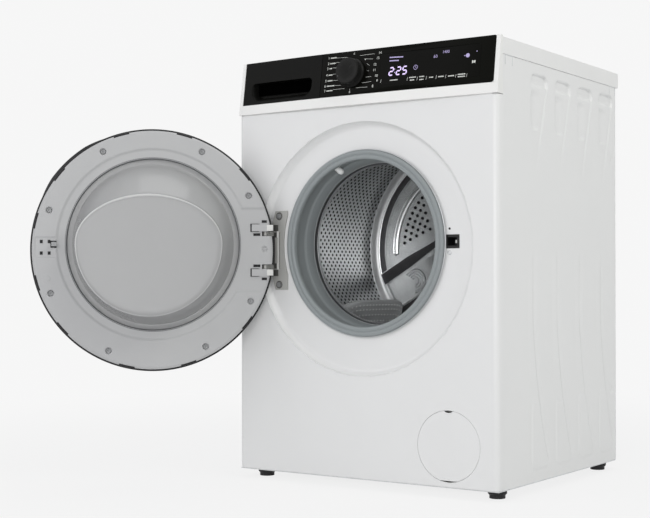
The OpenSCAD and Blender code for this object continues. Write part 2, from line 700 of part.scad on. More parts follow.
module tub_front() color("#b9bcbf") placed() translate([0, 0, port_z]) {
    difference() {
        union() {
            spun([[neck_r, neck_y], [neck_r + tub_wall, neck_y], [neck_r + tub_wall, drum_front - 6],
                [tub_in - 4, wall_y - 4], [tub_r, wall_y], [tub_r, tub_seam - 8], [flange_r, tub_seam - 8],
                [flange_r, tub_seam], [tub_in, tub_seam], [tub_in, wall_y + 2],
                [tub_in - 6, wall_y], [neck_r, drum_front - 2]]);
            // bosses that carry the front counterweights
            for (a = boss_angles) rotate([0, -a, 0]) translate([boss_ring, 0, 0]) along_y(10, weight_y1, drum_front);
        }
        for (i = [0:bolt_count - 1]) rotate([0, i * 360 / bolt_count, 0]) translate([bolt_ring, 0, 0]) along_y(3.05, tub_seam - 20, tub_seam + 5);
        // keep the bosses clear of the inside
        spun([[0, drum_front - 2], [neck_r, drum_front - 2], [tub_in - 6, wall_y], [tub_in, wall_y + 2], [tub_in, wall_y + 20], [0, wall_y + 20]]);
    }
}
spring_z0 = port_z + 160;
ear_x = spring_x;
damper_top = port_z - 220;
module tub_ear(y) both_sides() difference() {
    block([150, y - 10, spring_z0 - 8], [ear_x + 12, y + 10, spring_z0]);
    translate([ear_x - 7, y, spring_z0 - 20]) cylinder(r = 3, h = 40);
}
module tub_rear() color("#b2b5b8") placed() difference() {
    union() {
        translate([0, 0, port_z]) {
            along_y(tub_r, tub_seam, tub_back);
            along_y(flange_r, tub_seam, tub_seam + 8);
            along_y(hub_r, tub_back, hub_end);
            // stiffening ribs behind the rear wall
            for (i = [0:7]) rotate([0, i * 45 + 22.5, 0]) block([hub_r - 4, tub_back, -2.5], [tub_r - 12, tub_back + 12, 2.5]);
        }
        for (y = bracket_ys) tub_ear(y);
        // sump with the heater, and feet for the dampers and the motor
        block([sump_x0, tub_seam + 20, sump_z], [sump_x1, tub_back, port_z - 200]);
        for (x = [-damper_x, damper_x], y = rail_ys) block([x - 14, y - 10, damper_top], [x + 14, y + 10, port_z - 170]);
        for (y = [motor_y0 + 12, motor_y1 - 24]) block([motor_x - 30, y, motor_z + motor_r - 6], [motor_x + 30, y + 12, port_z - 220]);
        translate([spout_x, spout_y, port_z + 180]) cylinder(r = spout_r, h = inlet_neck_z - port_z - 180);
        translate([sump_pipe_x, sump_pipe_y, sump_z - 14]) cylinder(r = sump_pipe_r, h = 20);
    }
    translate([0, 0, port_z]) {
        along_y(tub_in, tub_seam - 1, tub_back - 6);
        along_y(bearing_r + 0.02, tub_back - 3, hub_end + 1);
        along_y(shaft_r + 6, tub_back - 10, hub_end + 1);
        for (i = [0:bolt_count - 1]) rotate([0, i * 360 / bolt_count, 0]) translate([bolt_ring, 0, 0]) along_y(3.05, tub_seam - 5, tub_seam + 20);
    }
    block([sump_x0 + tub_wall, tub_seam + 20 + tub_wall, sump_z + tub_wall], [sump_x1 - tub_wall, tub_back - tub_wall, port_z - 100]);
    translate([spout_x, spout_y, port_z + 100]) cylinder(r = spout_r - tub_wall / 2, h = 200);
    translate([sump_pipe_x, sump_pipe_y, sump_z - 20]) cylinder(r = sump_pipe_r - 3, h = 40);
    translate([motor_x, 0, motor_z]) along_y(motor_r + pin_gap, motor_y0, motor_y1);
    for (x = [-damper_x, damper_x], y = rail_ys) translate([x, y, damper_top - 1]) cylinder(r = 4 + pin_gap, h = 10);
    for (z = heater_zs) translate([heater_x, 0, z]) along_y(heater_r + pin_gap, tub_back - 8, tub_back + 8);
}
module tub_bolts() color("silver") placed() translate([0, 0, port_z])
    for (i = [0:bolt_count - 1]) rotate([0, i * 360 / bolt_count, 0]) translate([bolt_ring, 0, 0]) {
        along_y(3, tub_seam - 8, tub_seam + 8);
        along_y(5, tub_seam - 12, tub_seam - 8);
        along_y(5, tub_seam + 8, tub_seam + 12);
    }
// Two cast ring segments, above and below the porthole
module counterweight_front() color("#8d8b88") placed() translate([0, 0, port_z])
    for (a = [-90, 90]) spun([[weight_ring[0], weight_y0], [weight_ring[1], weight_y0], [weight_ring[1], weight_y1], [weight_ring[0], weight_y1]],
        104, -a - 52);
top_weight = [160, 120];
top_weight_mid = [40, 300];
// Cast block on top of the tub
module counterweight_top() color("#8d8b88") placed() difference() {
    block([top_weight_mid[0] - top_weight[0] / 2, top_weight_mid[1] - top_weight[1] / 2, port_z + tub_r - 45],
        [top_weight_mid[0] + top_weight[0] / 2, top_weight_mid[1] + top_weight[1] / 2, brace_z - bounce - 14]);
    translate([0, 0, port_z]) along_y(tub_r, tub_seam, tub_back);
}
motor_x = -60;
motor_z = port_z - tub_r - motor_r - 14;
motor_y0 = 320;
motor_y1 = 440;
pulley_y = hub_end + 5;
belt_w = 14;
spindle_r = 5;
module motor() color("#5a5d60") placed() translate([motor_x, 0, motor_z]) difference() {
    union() {
        along_y(motor_r, motor_y0 + 12, motor_y1 - 12);
        along_y(motor_r - 8, motor_y0, motor_y0 + 12);
        along_y(motor_r - 8, motor_y1 - 12, motor_y1);
    }
    along_y(spindle_r + pin_gap, motor_y1 - 40, motor_y1 + 1);
}
heater_x = (sump_x0 + sump_x1) / 2;
heater_r = 4;
heater_zs = [sump_z + 14, sump_z + 26];
// Heating rod: two legs joined by a bend, clamped in the rear wall
module heater() color("#7c7a76") placed() {
    y0 = tub_seam + 60;
    gap = heater_zs[1] - heater_zs[0];
    for (z = heater_zs) translate([heater_x, 0, z]) along_y(heater_r, y0, tub_back + 10);
    translate([heater_x, y0, heater_zs[0] + gap / 2]) rotate([0, -90, 0]) rotate([0, 0, 180])
        rotate_extrude(angle = 180) translate([gap / 2, 0]) circle(r = heater_r);
}
// Two ball bearings and the shaft seal before them
module bearings() color("#c9ccd0") placed() translate([0, 0, port_z]) {
    ring_y(bearing_r, shaft_r + 0.35, tub_back - 3, tub_back + 3);
    ring_y(bearing_r, shaft_r + pin_gap, tub_back + 3, tub_back + 16);
    ring_y(bearing_r, shaft_r + pin_gap, hub_end - 12, hub_end);
}
rod_end = base_z + rail_h + 58;
module damper_rods() color("#c4c7ca") placed() for (x = [-damper_x, damper_x], y = rail_ys) translate([x, y, 0]) {
    translate([0, 0, rod_end]) cylinder(r = rod_r, h = damper_top - rod_end);
    translate([0, 0, rod_end - 8]) cylinder(r = damper_r - 2.5, h = 8);
    translate([0, 0, damper_top]) cylinder(r = 4, h = 8);
}
module damper_cylinders() color("#3a3c40") placed() for (x = [-damper_x, damper_x], y = rail_ys)
    translate([x, y, base_z + rail_h]) difference() {
        cylinder(r = damper_r, h = 112);
        translate([0, 0, 8]) cylinder(r = damper_r - 2, h = 98);
        translate([0, 0, 100]) cylinder(r = rod_r + run_gap, h = 20);
    }
spring_z1 = bracket_z;
// One coil: points round the wire, swept up the spring's axis
function helix_ring(t) = [for (k = [0:4]) [
    (spring_r + spring_wire * cos(72 * k)) * cos(360 * t * spring_turns),
    (spring_r + spring_wire * cos(72 * k)) * sin(360 * t * spring_turns),
    t * (spring_z1 - spring_z0 - 2 * spring_wire - 1) + spring_wire * sin(72 * k)]];
module coil() {
    steps = spring_turns * 8;
    points = [for (i = [0:steps]) each helix_ring(i / steps)];
    sides = [for (i = [0:steps - 1], k = [0:4]) [5 * i + k, 5 * i + (k + 1) % 5, 5 * i + 5 + (k + 1) % 5, 5 * i + 5 + k]];
    polyhedron(points, concat(sides, [[4, 3, 2, 1, 0], [for (k = [0:4]) 5 * steps + k]]), convexity = 10);
}
module suspension_springs() color("#8f9296") placed()
    for (s = [-1, 1], y = bracket_ys) translate([s * spring_x, y, spring_z0 + spring_wire + 0.5]) coil();

// Poly-V belt round both pulleys, with its inside just clear of them
module drive_belt() color("#202022") placed() translate([0, pulley_y + 1, port_z]) rotate([-90, 0, 0]) linear_extrude(belt_w) difference() {
    hull() {
        circle(r = pulley_r + run_gap + 3, $fn = 96);
        translate([motor_x, port_z - motor_z]) circle(r = motor_pulley_r + run_gap + 3, $fn = 48);
    }
    hull() {
        circle(r = pulley_r + run_gap, $fn = 96);
        translate([motor_x, port_z - motor_z]) circle(r = motor_pulley_r + run_gap, $fn = 48);
    }
}

// ---------------------------------------------------------------- drum

drum_in = drum_r - drum_wall;
shoulder = 18;
// Perforated steel shell with its rolled mouth
module drum_shell() color("#b8bbbe") placed() translate([0, 0, port_z]) spun([
    [mouth_r, drum_front], [mouth_r + 3, drum_front - 1], [drum_r - shoulder, wall_y - 4], [drum_r - 5, wall_y + 2], [drum_r, wall_y + shoulder],
    [drum_r, drum_back_y], [drum_in, drum_back_y], [drum_in, wall_y + shoulder], [drum_r - 5 - drum_wall, wall_y + 3],
    [drum_r - shoulder, wall_y - 3], [mouth_r + 4, drum_front], [mouth_r + 4, drum_front + 8], [mouth_r, drum_front + 8]]);
// Rear disc with a pressed ring and three pressed arms
module drum_back() color("#aeb1b4") placed() translate([0, 0, port_z]) difference() {
    union() {
        along_y(drum_r - 0.2, drum_back_y, drum_back_y + 2);
        for (i = [0:2]) rotate([0, 30 + 120 * i, 0]) block([40, drum_back_y - 8, -24], [drum_in - 42, drum_back_y, 24]);
        along_y(60, drum_back_y - 8, drum_back_y);
    }
    ring_y(drum_in - 16, drum_in - 34, drum_back_y - 1, drum_back_y + 1);
    for (i = [0:2], r = [110:16:190], k = [-2:2]) rotate([0, -30 + 120 * i + k * 14 * 60 / r, 0]) translate([r, 0, 0]) along_y(3.5, drum_back_y - 2, drum_back_y + 3);
}
lifter_turn = 50;
// Paddle: a round-backed wedge along the drum
module lifter() intersection() {
    translate([0, wall_y + 40, -drum_in]) hull() {
        block([-34, 0, 0], [34, drum_len - 75, 1]);
        block([-12, 22, lifter_h - 1], [12, drum_len - 110, lifter_h]);
    }
    along_y(drum_in - 0.3, 0, 600);
}
module lifters() color("#9da0a3") placed() translate([0, 0, port_z])
    for (i = [0:lifter_count - 1]) rotate([0, lifter_turn + i * 360 / lifter_count, 0]) lifter();
// Cast star with the drum shaft
module drum_spider() color("#a7a9ab") placed() translate([0, 0, port_z]) {
    y0 = drum_back_y + 2;
    for (i = [0:2]) rotate([0, 30 + 120 * i, 0]) block([0, y0, -16], [drum_in - 6, y0 + 8, 16]);
    along_y(44, y0, y0 + 12);
    along_y(shaft_r, y0 + 12, pulley_y + 20);
}
module drum_pulley() color("#8e9194") placed() translate([0, 0, port_z]) difference() {
    union() {
        ring_y(pulley_r, pulley_r - 8, pulley_y, pulley_y + 16);
        for (i = [0:5]) rotate([0, 60 * i, 0]) block([20, pulley_y + 4, -8], [pulley_r - 4, pulley_y + 12, 8]);
        along_y(30, pulley_y, pulley_y + 18);
    }
    along_y(shaft_r + pin_gap, pulley_y - 1, pulley_y + 30);
}
// Motor spindle with its grooved pulley
module motor_pulley() color("#b5b8bb") placed() translate([motor_x, 0, motor_z]) {
    along_y(motor_pulley_r, pulley_y, pulley_y + belt_w + 4);
    along_y(spindle_r, motor_y1 - 39, pulley_y);
}

// ---------------------------------------------------------------- drain

pump_r = 34;
bezel_in = 40;
sump_pipe_x = 96;
sump_pipe_y = 215;
sump_pipe_r = 20;
flap_hinge_z = flap_z - flap_r - 0.8;
flap_pin_r = 1;
tab_x = 9.5;
lug_x0 = 11;
lug_x1 = 15.5;
// Cup behind the flap, with the two lugs of the flap's hinge
module pump_bezel() color("white") placed() difference() {
    union() {
        translate([flap_x, 0, flap_z]) ring_y(flap_r + flap_gap + 6, flap_r + flap_gap + 2, sheet, 22);
        translate([flap_x, 0, flap_z]) ring_y(flap_r + flap_gap + 6, bezel_in, 22, 24);
        for (s = [0, 1]) translate([flap_x, 0, 0]) mirror([s, 0, 0])
            block([lug_x0, 0, flap_hinge_z - 2.2], [lug_x1, 22, flap_hinge_z + 1.4]);
    }
    translate([flap_x - 20, flap_t / 2, flap_hinge_z]) rotate([0, 90, 0]) cylinder(r = flap_pin_r + pin_gap, h = 40);
}
module pump_flap() color("white") placed() difference() {
    union() {
        difference() {
            translate([flap_x, 0, flap_z]) along_y(flap_r, 0, flap_t);
            // room for the lugs as the flap swings
            for (s = [0, 1]) translate([flap_x, 0, 0]) mirror([s, 0, 0])
                block([lug_x0 - 0.5, -1, flap_z - flap_r - 1], [lug_x1 + 0.5, flap_t + 1, flap_hinge_z + 4]);
        }
        // tab at the foot of the flap, with the hinge pins
        block([flap_x - tab_x, 0.1, flap_hinge_z - 1], [flap_x + tab_x, flap_t - 0.1, flap_z - flap_r + 2]);
        translate([flap_x - lug_x1 + 1, flap_t / 2, flap_hinge_z]) rotate([0, 90, 0]) cylinder(r = flap_pin_r, h = 2 * lug_x1 - 2);
        // snap tongue behind the top edge
        block([flap_x - 6, flap_t, flap_z + flap_r - 12], [flap_x + 6, flap_t + 8, flap_z + flap_r - 9]);
    }
    // finger notch
    translate([flap_x, 0, flap_z + flap_r + 2]) along_y(9, -1, flap_t + 1);
}
cap_y0 = 8;
module filter_cap() color("#2a2b2e") placed() translate([flap_x, 0, flap_z]) {
    along_y(bezel_in - 6, cap_y0 + 8, cap_y0 + 13);
    block([-26, cap_y0, -4], [26, cap_y0 + 8, 4]);
    along_y(pump_r - 5 - run_gap, cap_y0 + 13, 60);
}
pump_y0 = 25;
module drain_pump() color("#3f6f8c") placed() difference() {
    union() {
        translate([flap_x, 0, flap_z]) {
            along_y(pump_r, pump_y0, 118);
            along_y(26, 118, 185);
            along_y(bezel_in + 6, pump_y0 - 1, pump_y0 + 2);
        }
        // pipe from the sump hose
        translate([sump_pipe_x, sump_pipe_y, flap_z + 2]) cylinder(r = sump_pipe_r - 2, h = 42);
        translate([sump_pipe_x, 0, flap_z]) along_y(sump_pipe_r - 2, 80, sump_pipe_y);
        translate([sump_pipe_x, sump_pipe_y, flap_z]) sphere(r = sump_pipe_r - 2);
        translate([sump_pipe_x, 96, flap_z]) rotate([0, 90, 0]) cylinder(r = sump_pipe_r - 2, h = flap_x - sump_pipe_x);
        // foot on the base plate
        block([flap_x - 20, 40, base_z], [flap_x + 20, 62, flap_z - pump_r + 4]);
        translate([flap_x, 100, flap_z]) rotate([0, 90, 0]) cylinder(r = hose_r - 2, h = outlet_x - flap_x - hose_r);
    }
    translate([flap_x, 0, flap_z]) along_y(pump_r - 5, 0, 100);
}
module sump_hose() color("#2c2d30") placed() translate([sump_pipe_x, sump_pipe_y, 0]) rotate_extrude() {
    z0 = flap_z + 44;
    z1 = sump_z - 14;
    n = 6;
    outer = [for (i = [0:2 * n]) [sump_pipe_r + (i % 2 == 0 ? 0 : 4), z0 + (z1 - z0) * i / (2 * n)]];
    inner = [for (i = [2 * n:-1:0]) [sump_pipe_r - (i % 2 == 0 ? 3 : -1), z0 + (z1 - z0) * i / (2 * n)]];
    polygon(concat(outer, inner));
}
hose_y = rear_y - 30;
// The hose's end sleeve and the thinner spigot that it carries
hose_end = rear_y + 3;
spigot_r = hose_r - 1;
// Drain hose: along the floor, up behind the tub and out at the rear
module drain_hose() color("#9b9da0") placed() {
    translate([outlet_x, 0, flap_z]) along_y(hose_r, 100 - hose_r, hose_y);
    translate([outlet_x, hose_y, flap_z]) sphere(r = hose_r);
    translate([outlet_x, hose_y, flap_z]) cylinder(r = hose_r, h = outlet_z - flap_z);
    translate([outlet_x, hose_y, outlet_z]) sphere(r = hose_r);
    translate([outlet_x, 0, outlet_z]) {
        along_y(hose_r, hose_y, hose_end);
        along_y(spigot_r, hose_end, cab_d + top_overhang - 1);
    }
}
module cord_gland() color("#202022") placed() translate([gland_x, 0, gland_z]) {
    ring_y(gland_r - 0.1, 4, rear_y - 6, rear_y + sheet);
    ring_y(gland_r + 4, 4, rear_y + sheet, rear_y + sheet + 6);
}
module transit_plugs() color("#e9e9e7") placed() for (x = transit_xs, z = transit_zs) translate([x, 0, z]) {
    along_y(transit_r - 0.1, rear_y - 8, rear_y + sheet);
    along_y(transit_r + 4, rear_y + sheet, rear_y + sheet + 2.5);
}
// Screws of the access cover, the worktop and the hinge
module cabinet_screws() color("silver") placed() {
    y1 = rear_y + 2 * sheet;
    for (x = [-1, 1], z = [-1, 1]) translate([x * (cover_hole[0] + cover_rim - 6), 0, port_z + z * (cover_hole[1] + cover_rim - 6)]) {
        along_y(2.5, rear_y + sheet, y1);
        along_y(5, y1, y1 + 2.5);
    }
    for (s = [-1, 1]) translate([hinge_screw_x, 0, dish_z + s * hinge_screw_dz]) {
        along_y(5, plate_y - 2.5, plate_y);
        along_y(2.5, plate_y, dish_depth + 8);
    }
}

// ---------------------------------------------------------------- door, drawn shut and swung open

module swung() placed() translate([-hinge_x, -hinge_y, 0]) rotate([0, 0, -door_open]) translate([hinge_x, hinge_y, 0]) children();
frame_y = door_back - 5;
notch_x = -hinge_x + 10;
// Clearances in the rim for the hinge lugs and the ends of the arms
module hinge_notches() for (s = [-1, 1]) {
    z_mid = (lug_z(s) + dish_z + s * arm_half) / 2;
    notch_h = lug_h + arm_h + 3.5;
    block([-door_r - 10, -40, z_mid - notch_h / 2], [notch_x, 20, z_mid + notch_h / 2]);
}
handle_from = 24;
handle_to = 68;
module door_outer_frame() color("#2b2c2f") swung() difference() {
    translate([0, 0, dish_z]) union() {
        spun([[window_r, frame_y], [window_r, frame_y - 3], [window_r + 12, frame_y - 3], [window_r + 12, -door_front + 3],
            [window_r, -door_front + 3], [window_r, -door_front + 1.5], [window_r + 6, -door_front],
            [door_r - 20, -door_front], [door_r - 9, -door_front + 5], [door_r - 2, -door_front + 13],
            [door_r, frame_y - 2], [door_r, frame_y]]);
        // grip that stands out of the rim
        spun([[door_r - 4, frame_y - 12], [door_r + 5, frame_y - 11], [door_r + 5, frame_y - 4], [door_r - 4, frame_y - 2]], handle_to - handle_from, handle_from);
    }
    hinge_notches();
    for (a = screw_angles) translate([-screw_ring * cos(a), 0, dish_z + screw_ring * sin(a)]) along_y(2 + pin_gap, frame_y - 3.1, frame_y + 1);
    block([latch_x - 16, frame_y - 11, port_z - 16], [latch_x + 12, frame_y + 1, port_z + 16]);
    // room for the glass, whose centre is higher than the door's
    translate([0, 0, port_z]) along_y(port_r + 5.5, frame_y - glass_t - 0.3, frame_y + 1);
}
// Smoked cover over the front of the door
module door_window() color("#3a3c42") swung() translate([0, 0, dish_z])
    spun([[0, -door_front - 1], [window_r - 40, -door_front - 0.4], [window_r - 0.3, -door_front + 1.5], [window_r - 0.3, -door_front + 4.5],
        [window_r - 40, -door_front + 2.6], [0, -door_front + 2]]);
screw_angles = [117, 64, 30, -28, -62, -114, 159, 203];
screw_ring = door_r - 16;
land_y = door_back + 1.5;
land_step = 1.5;
land_half = 84;
module door_inner_frame() color("#b3b3b3") swung() difference() {
    union() {
        translate([0, 0, dish_z]) along_y(door_r - 4, frame_y, land_y);
        // outer band, higher than the land round the glass
        translate([0, 0, dish_z]) spun([[port_r - 4, land_y], [door_r - 4, land_y], [door_r - 8, land_y + land_step], [port_r - 4, land_y + land_step]]);
    }
    translate([0, 0, port_z]) along_y(port_r - 2, -50, 50);
    // land round the glass and under the hinge arms
    translate([0, 0, port_z]) along_y(port_r + 17, land_y, 50);
    block([-door_r, land_y, dish_z - land_half], [-port_r + 4, 50, dish_z + land_half]);
    hinge_notches();
    block([latch_x - 7, -50, port_z - 7], [latch_x + 5, 50, port_z + 7]);
    for (a = screw_angles) translate([-screw_ring * cos(a), 0, dish_z + screw_ring * sin(a)]) {
        along_y(2.1, -50, 50);
        along_y(5.5, land_y - 2, 50);
    }
}
module bowl(r0, r1, depth, top_cut) intersection() {
    rotate([-90, 0, 0]) cylinder(r1 = r0, r2 = r1, h = depth);
    // the crown slopes down towards the drum
    translate([-300, 0, top_cut]) rotate([bowl_slope, 0, 0]) translate([0, -50, -400]) cube([600, 400, 400]);
}
bowl_slope = -34;
// Thick glass with a flat rim and a sloping bowl
module door_glass() color("#c8ccce") swung() translate([0, 0, port_z]) difference() {
    union() {
        along_y(port_r + 5, frame_y - glass_t, frame_y);
        translate([0, frame_y, 0]) bowl(bowl_r, bowl_end_r, bowl_depth + 5, bowl_r - 1);
    }
    translate([0, frame_y - glass_t - 0.01, 0]) bowl(bowl_r - glass_t, bowl_end_r - glass_t, bowl_depth + 5, bowl_r - 1 - glass_t);
}
module door_screws() color("#8e9092") swung() for (a = screw_angles) translate([-screw_ring * cos(a), 0, dish_z + screw_ring * sin(a)]) {
    along_y(5.3, land_y - 2, land_y - 0.3);
    along_y(2, frame_y - 3, land_y - 2);
}
arm_len = 48;
arm_t = 3;
module hinge_arms() color("#c6c8ca") swung() for (s = [-1, 1]) translate([-hinge_x, 0, dish_z + s * arm_half - arm_h / 2]) difference() {
    union() {
        translate([0, -hinge_y, 0]) cylinder(r = hinge_pin_r + 2.5, h = arm_h);
        block([-2, -hinge_y, 0], [hinge_pin_r + 2.5, land_y + arm_t, arm_h]);
        block([-2, land_y, 0], [arm_len, land_y + arm_t, arm_h]);
    }
    translate([0, -hinge_y, -1]) cylinder(r = hinge_pin_r + pin_gap, h = arm_h + 2);
}
hook_y = frame_y - 5;
// Sprung hook that enters the lock
module latch_hook() color("#d4d6d8") swung() translate([latch_x, 0, port_z]) {
    translate([0, hook_y, -15.7]) cylinder(r = 2, h = 31.4);
    translate([0, hook_y, -6]) cylinder(r = 3.5, h = 12);
    block([-3, hook_y, -4], [2, dish_depth + 8, 4]);
    block([-8, dish_depth + 4, -4], [2, dish_depth + 8, 4]);
}

// ---------------------------------------------------------------- drawing

side_panel_left();
side_panel_right();
rear_panel();
access_cover();
base_frame();
cross_braces();
worktop();
front_panel();
control_panel();
fascia();
display_window();
display_board();
control_box();
drawer_housing();
inlet_valve();
fill_hose();
dispenser_hose();
door_lock();
hinge_plate();
hinge_pins();
gasket();
gasket_clamp();
spray_nozzle();
suspension_springs();
damper_cylinders();
drain_pump();
pump_bezel();
sump_hose();
drain_hose();
cord_gland();
feet();
transit_plugs();
cabinet_screws();
tub_front();
tub_rear();
tub_bolts();
counterweight_front();
counterweight_top();
motor();
heater();
bearings();
damper_rods();
drive_belt();
drum_shell();
drum_back();
lifters();
drum_spider();
drum_pulley();
motor_pulley();
door_outer_frame();
door_window();
door_inner_frame();
door_glass();
door_screws();
hinge_arms();
latch_hook();
program_knob();
drawer();
filter_cap();
pump_flap();
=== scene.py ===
import math

import bmesh
import bpy
from mathutils import Matrix, Vector
from mathutils.geometry import delaunay_2d_cdt


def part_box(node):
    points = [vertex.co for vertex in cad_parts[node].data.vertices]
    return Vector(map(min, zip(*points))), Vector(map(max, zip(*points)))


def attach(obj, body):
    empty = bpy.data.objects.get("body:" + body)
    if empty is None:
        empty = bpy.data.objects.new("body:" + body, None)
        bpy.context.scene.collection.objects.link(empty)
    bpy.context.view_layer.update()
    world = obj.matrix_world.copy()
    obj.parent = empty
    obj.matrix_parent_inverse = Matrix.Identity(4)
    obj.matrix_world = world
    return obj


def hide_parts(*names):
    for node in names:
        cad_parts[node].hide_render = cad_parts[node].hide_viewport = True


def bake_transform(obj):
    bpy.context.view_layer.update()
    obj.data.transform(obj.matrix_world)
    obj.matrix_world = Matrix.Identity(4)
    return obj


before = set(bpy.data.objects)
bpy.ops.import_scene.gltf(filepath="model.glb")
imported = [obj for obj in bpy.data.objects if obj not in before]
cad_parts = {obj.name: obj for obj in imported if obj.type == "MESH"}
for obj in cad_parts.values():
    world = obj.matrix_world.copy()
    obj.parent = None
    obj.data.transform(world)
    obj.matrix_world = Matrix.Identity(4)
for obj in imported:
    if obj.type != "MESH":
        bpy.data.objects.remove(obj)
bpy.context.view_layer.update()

# ---- Studio: the camera, four large soft lamps and a pale floor.
# The lamps stand left, right, above and beside the camera, as in a product studio.
scene = bpy.context.scene
scene.view_settings.view_transform = "Standard"

camera_data = bpy.data.cameras.new("camera")
camera_data.sensor_width = 36.0
camera_data.lens = 73.60
camera_data.shift_x = -0.0201
camera_data.shift_y = 0.0300
camera_data.clip_end = 60.0
camera = bpy.data.objects.new("camera", camera_data)
camera.matrix_world = (
    Matrix.Translation((1.4173, -2.4359, 0.4004))
    @ Matrix.Rotation(math.radians(34.335), 4, "Z")
    @ Matrix.Rotation(math.radians(90.0 + 0.178), 4, "X")
    @ Matrix.Rotation(math.radians(-0.089), 4, "Z")
)
scene.collection.objects.link(camera)
scene.camera = camera

BACKDROP = (0.925, 0.925, 0.925, 1.0)


def sees_backdrop(nodes, links):
    """1 for rays from the camera, from a mirror or through glass."""
    path = nodes.new("ShaderNodeLightPath")
    glossy = nodes.new("ShaderNodeMath")
    glossy.operation = "MAXIMUM"
    links.new(path.outputs["Is Camera Ray"], glossy.inputs[0])
    links.new(path.outputs["Is Glossy Ray"], glossy.inputs[1])
    through = nodes.new("ShaderNodeMath")
    through.operation = "MAXIMUM"
    links.new(glossy.outputs[0], through.inputs[0])
    links.new(path.outputs["Is Transmission Ray"], through.inputs[1])
    return through.outputs[0]


world = bpy.data.worlds.new("studio")
scene.world = world
world.use_nodes = True
nodes, links = world.node_tree.nodes, world.node_tree.links
nodes.clear()
sky = nodes.new("ShaderNodeBackground")
sky.inputs["Color"].default_value = (0.95, 0.97, 1.0, 1.0)
sky.inputs["Strength"].default_value = 0.46
plain = nodes.new("ShaderNodeBackground")
plain.inputs["Color"].default_value = BACKDROP
mix = nodes.new("ShaderNodeMixShader")
links.new(sees_backdrop(nodes, links), mix.inputs["Fac"])
links.new(sky.outputs[0], mix.inputs[1])
links.new(plain.outputs[0], mix.inputs[2])
links.new(mix.outputs[0], nodes.new("ShaderNodeOutputWorld").inputs["Surface"])


def lamp(name, place, target, size, watts, colour=(1, 1, 1)):
    """A soft square lamp that faces a target."""
    data = bpy.data.lights.new(name, "AREA")
    data.size = size
    data.energy = watts
    data.color = colour
    obj = bpy.data.objects.new(name, data)
    obj.location = place
    obj.rotation_euler = (Vector(target) - Vector(place)).to_track_quat("-Z", "Y").to_euler()
    scene.collection.objects.link(obj)


lamp("key", (-2.6, -3.4, 2.6), (0, 0, 0.45), 2.6, 40, (1.0, 0.985, 1.0))
lamp("side", (3.1, -0.5, 3.3), (0, 0, 0.45), 1.8, 46, (1.0, 1.0, 0.93))
lamp("overhead", (0.0, 0.2, 3.8), (0, 0, 0.5), 2.4, 30)
lamp("camera_side", (1.7, -3.9, 0.9), (0, 0, 0.45), 2.2, 47, (1.0, 0.99, 0.995))

floor_mesh = bpy.data.meshes.new("studio_floor")
floor_mesh.from_pydata([(-25, -25, 0), (25, -25, 0), (25, 25, 0), (-25, 25, 0)], [], [(0, 1, 2, 3)])
studio_floor = bpy.data.objects.new("studio_floor", floor_mesh)
scene.collection.objects.link(studio_floor)
paper = bpy.data.materials.new("studio_paper")
paper.use_nodes = True
nodes, links = paper.node_tree.nodes, paper.node_tree.links
nodes.clear()
matt = nodes.new("ShaderNodeBsdfDiffuse")
matt.inputs["Color"].default_value = (0.80, 0.80, 0.80, 1)
glow = nodes.new("ShaderNodeEmission")
glow.inputs["Color"].default_value = BACKDROP
where = nodes.new("ShaderNodeTexCoord")
distance = nodes.new("ShaderNodeVectorMath")
distance.operation = "LENGTH"
links.new(where.outputs["Object"], distance.inputs[0])
fade = nodes.new("ShaderNodeMapRange")
fade.interpolation_type = "SMOOTHSTEP"
for label, value in (("From Min", 0.5), ("From Max", 2.2), ("To Min", 0.88), ("To Max", 1.0)):
    fade.inputs[label].default_value = value
links.new(distance.outputs["Value"], fade.inputs["Value"])
share = nodes.new("ShaderNodeMath")
share.operation = "MULTIPLY"
links.new(fade.outputs["Result"], share.inputs[1])
mix = nodes.new("ShaderNodeMixShader")
links.new(sees_backdrop(nodes, links), share.inputs[0])
links.new(share.outputs[0], mix.inputs["Fac"])
links.new(matt.outputs[0], mix.inputs[1])
links.new(glow.outputs[0], mix.inputs[2])
links.new(mix.outputs[0], nodes.new("ShaderNodeOutputMaterial").inputs["Surface"])
studio_floor.data.materials.append(paper)

# ---- Side panels: enamelled sheet steel, each pressed with four tapering ribs.
# They fold round the front and rear panels and stand on the base frame.
mm = 0.001
front_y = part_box("front_panel")[0].y
half_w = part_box("front_panel")[1].x / mm
top_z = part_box("side_panel_right")[1].z / mm
rear_y = (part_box("side_panel_right")[1].y - front_y) / mm
seam_y = (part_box("front_panel")[1].y - front_y) / mm
top_front = (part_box("worktop")[0].y - front_y) / mm
PANEL_Z, PANEL_TOP, FLOOR_GAP, SHEET = 745.0, 853.0, 18.0, 0.9


def at_front(x, y, z):
    """A place in millimetres, with y counted back from the face of the front panel."""
    return Vector((x * mm, y * mm + front_y, z * mm))


def tidy(mesh, outward=True):
    """Merges doubles and turns the faces outward."""
    bm = bmesh.new()
    bm.from_mesh(mesh)
    bmesh.ops.remove_doubles(bm, verts=bm.verts, dist=0.00002)
    bmesh.ops.dissolve_degenerate(bm, edges=bm.edges, dist=0.000005)
    if outward:
        bmesh.ops.recalc_face_normals(bm, faces=bm.faces)
    bm.to_mesh(mesh)
    bm.free()


def mesh_of(name, points, faces, place=at_front, outward=True):
    """A clean mesh from points in millimetres, its doubles merged and its faces outward."""
    mesh = bpy.data.meshes.new(name)
    mesh.from_pydata([place(*p) for p in points], [], faces)
    tidy(mesh, outward)
    return mesh


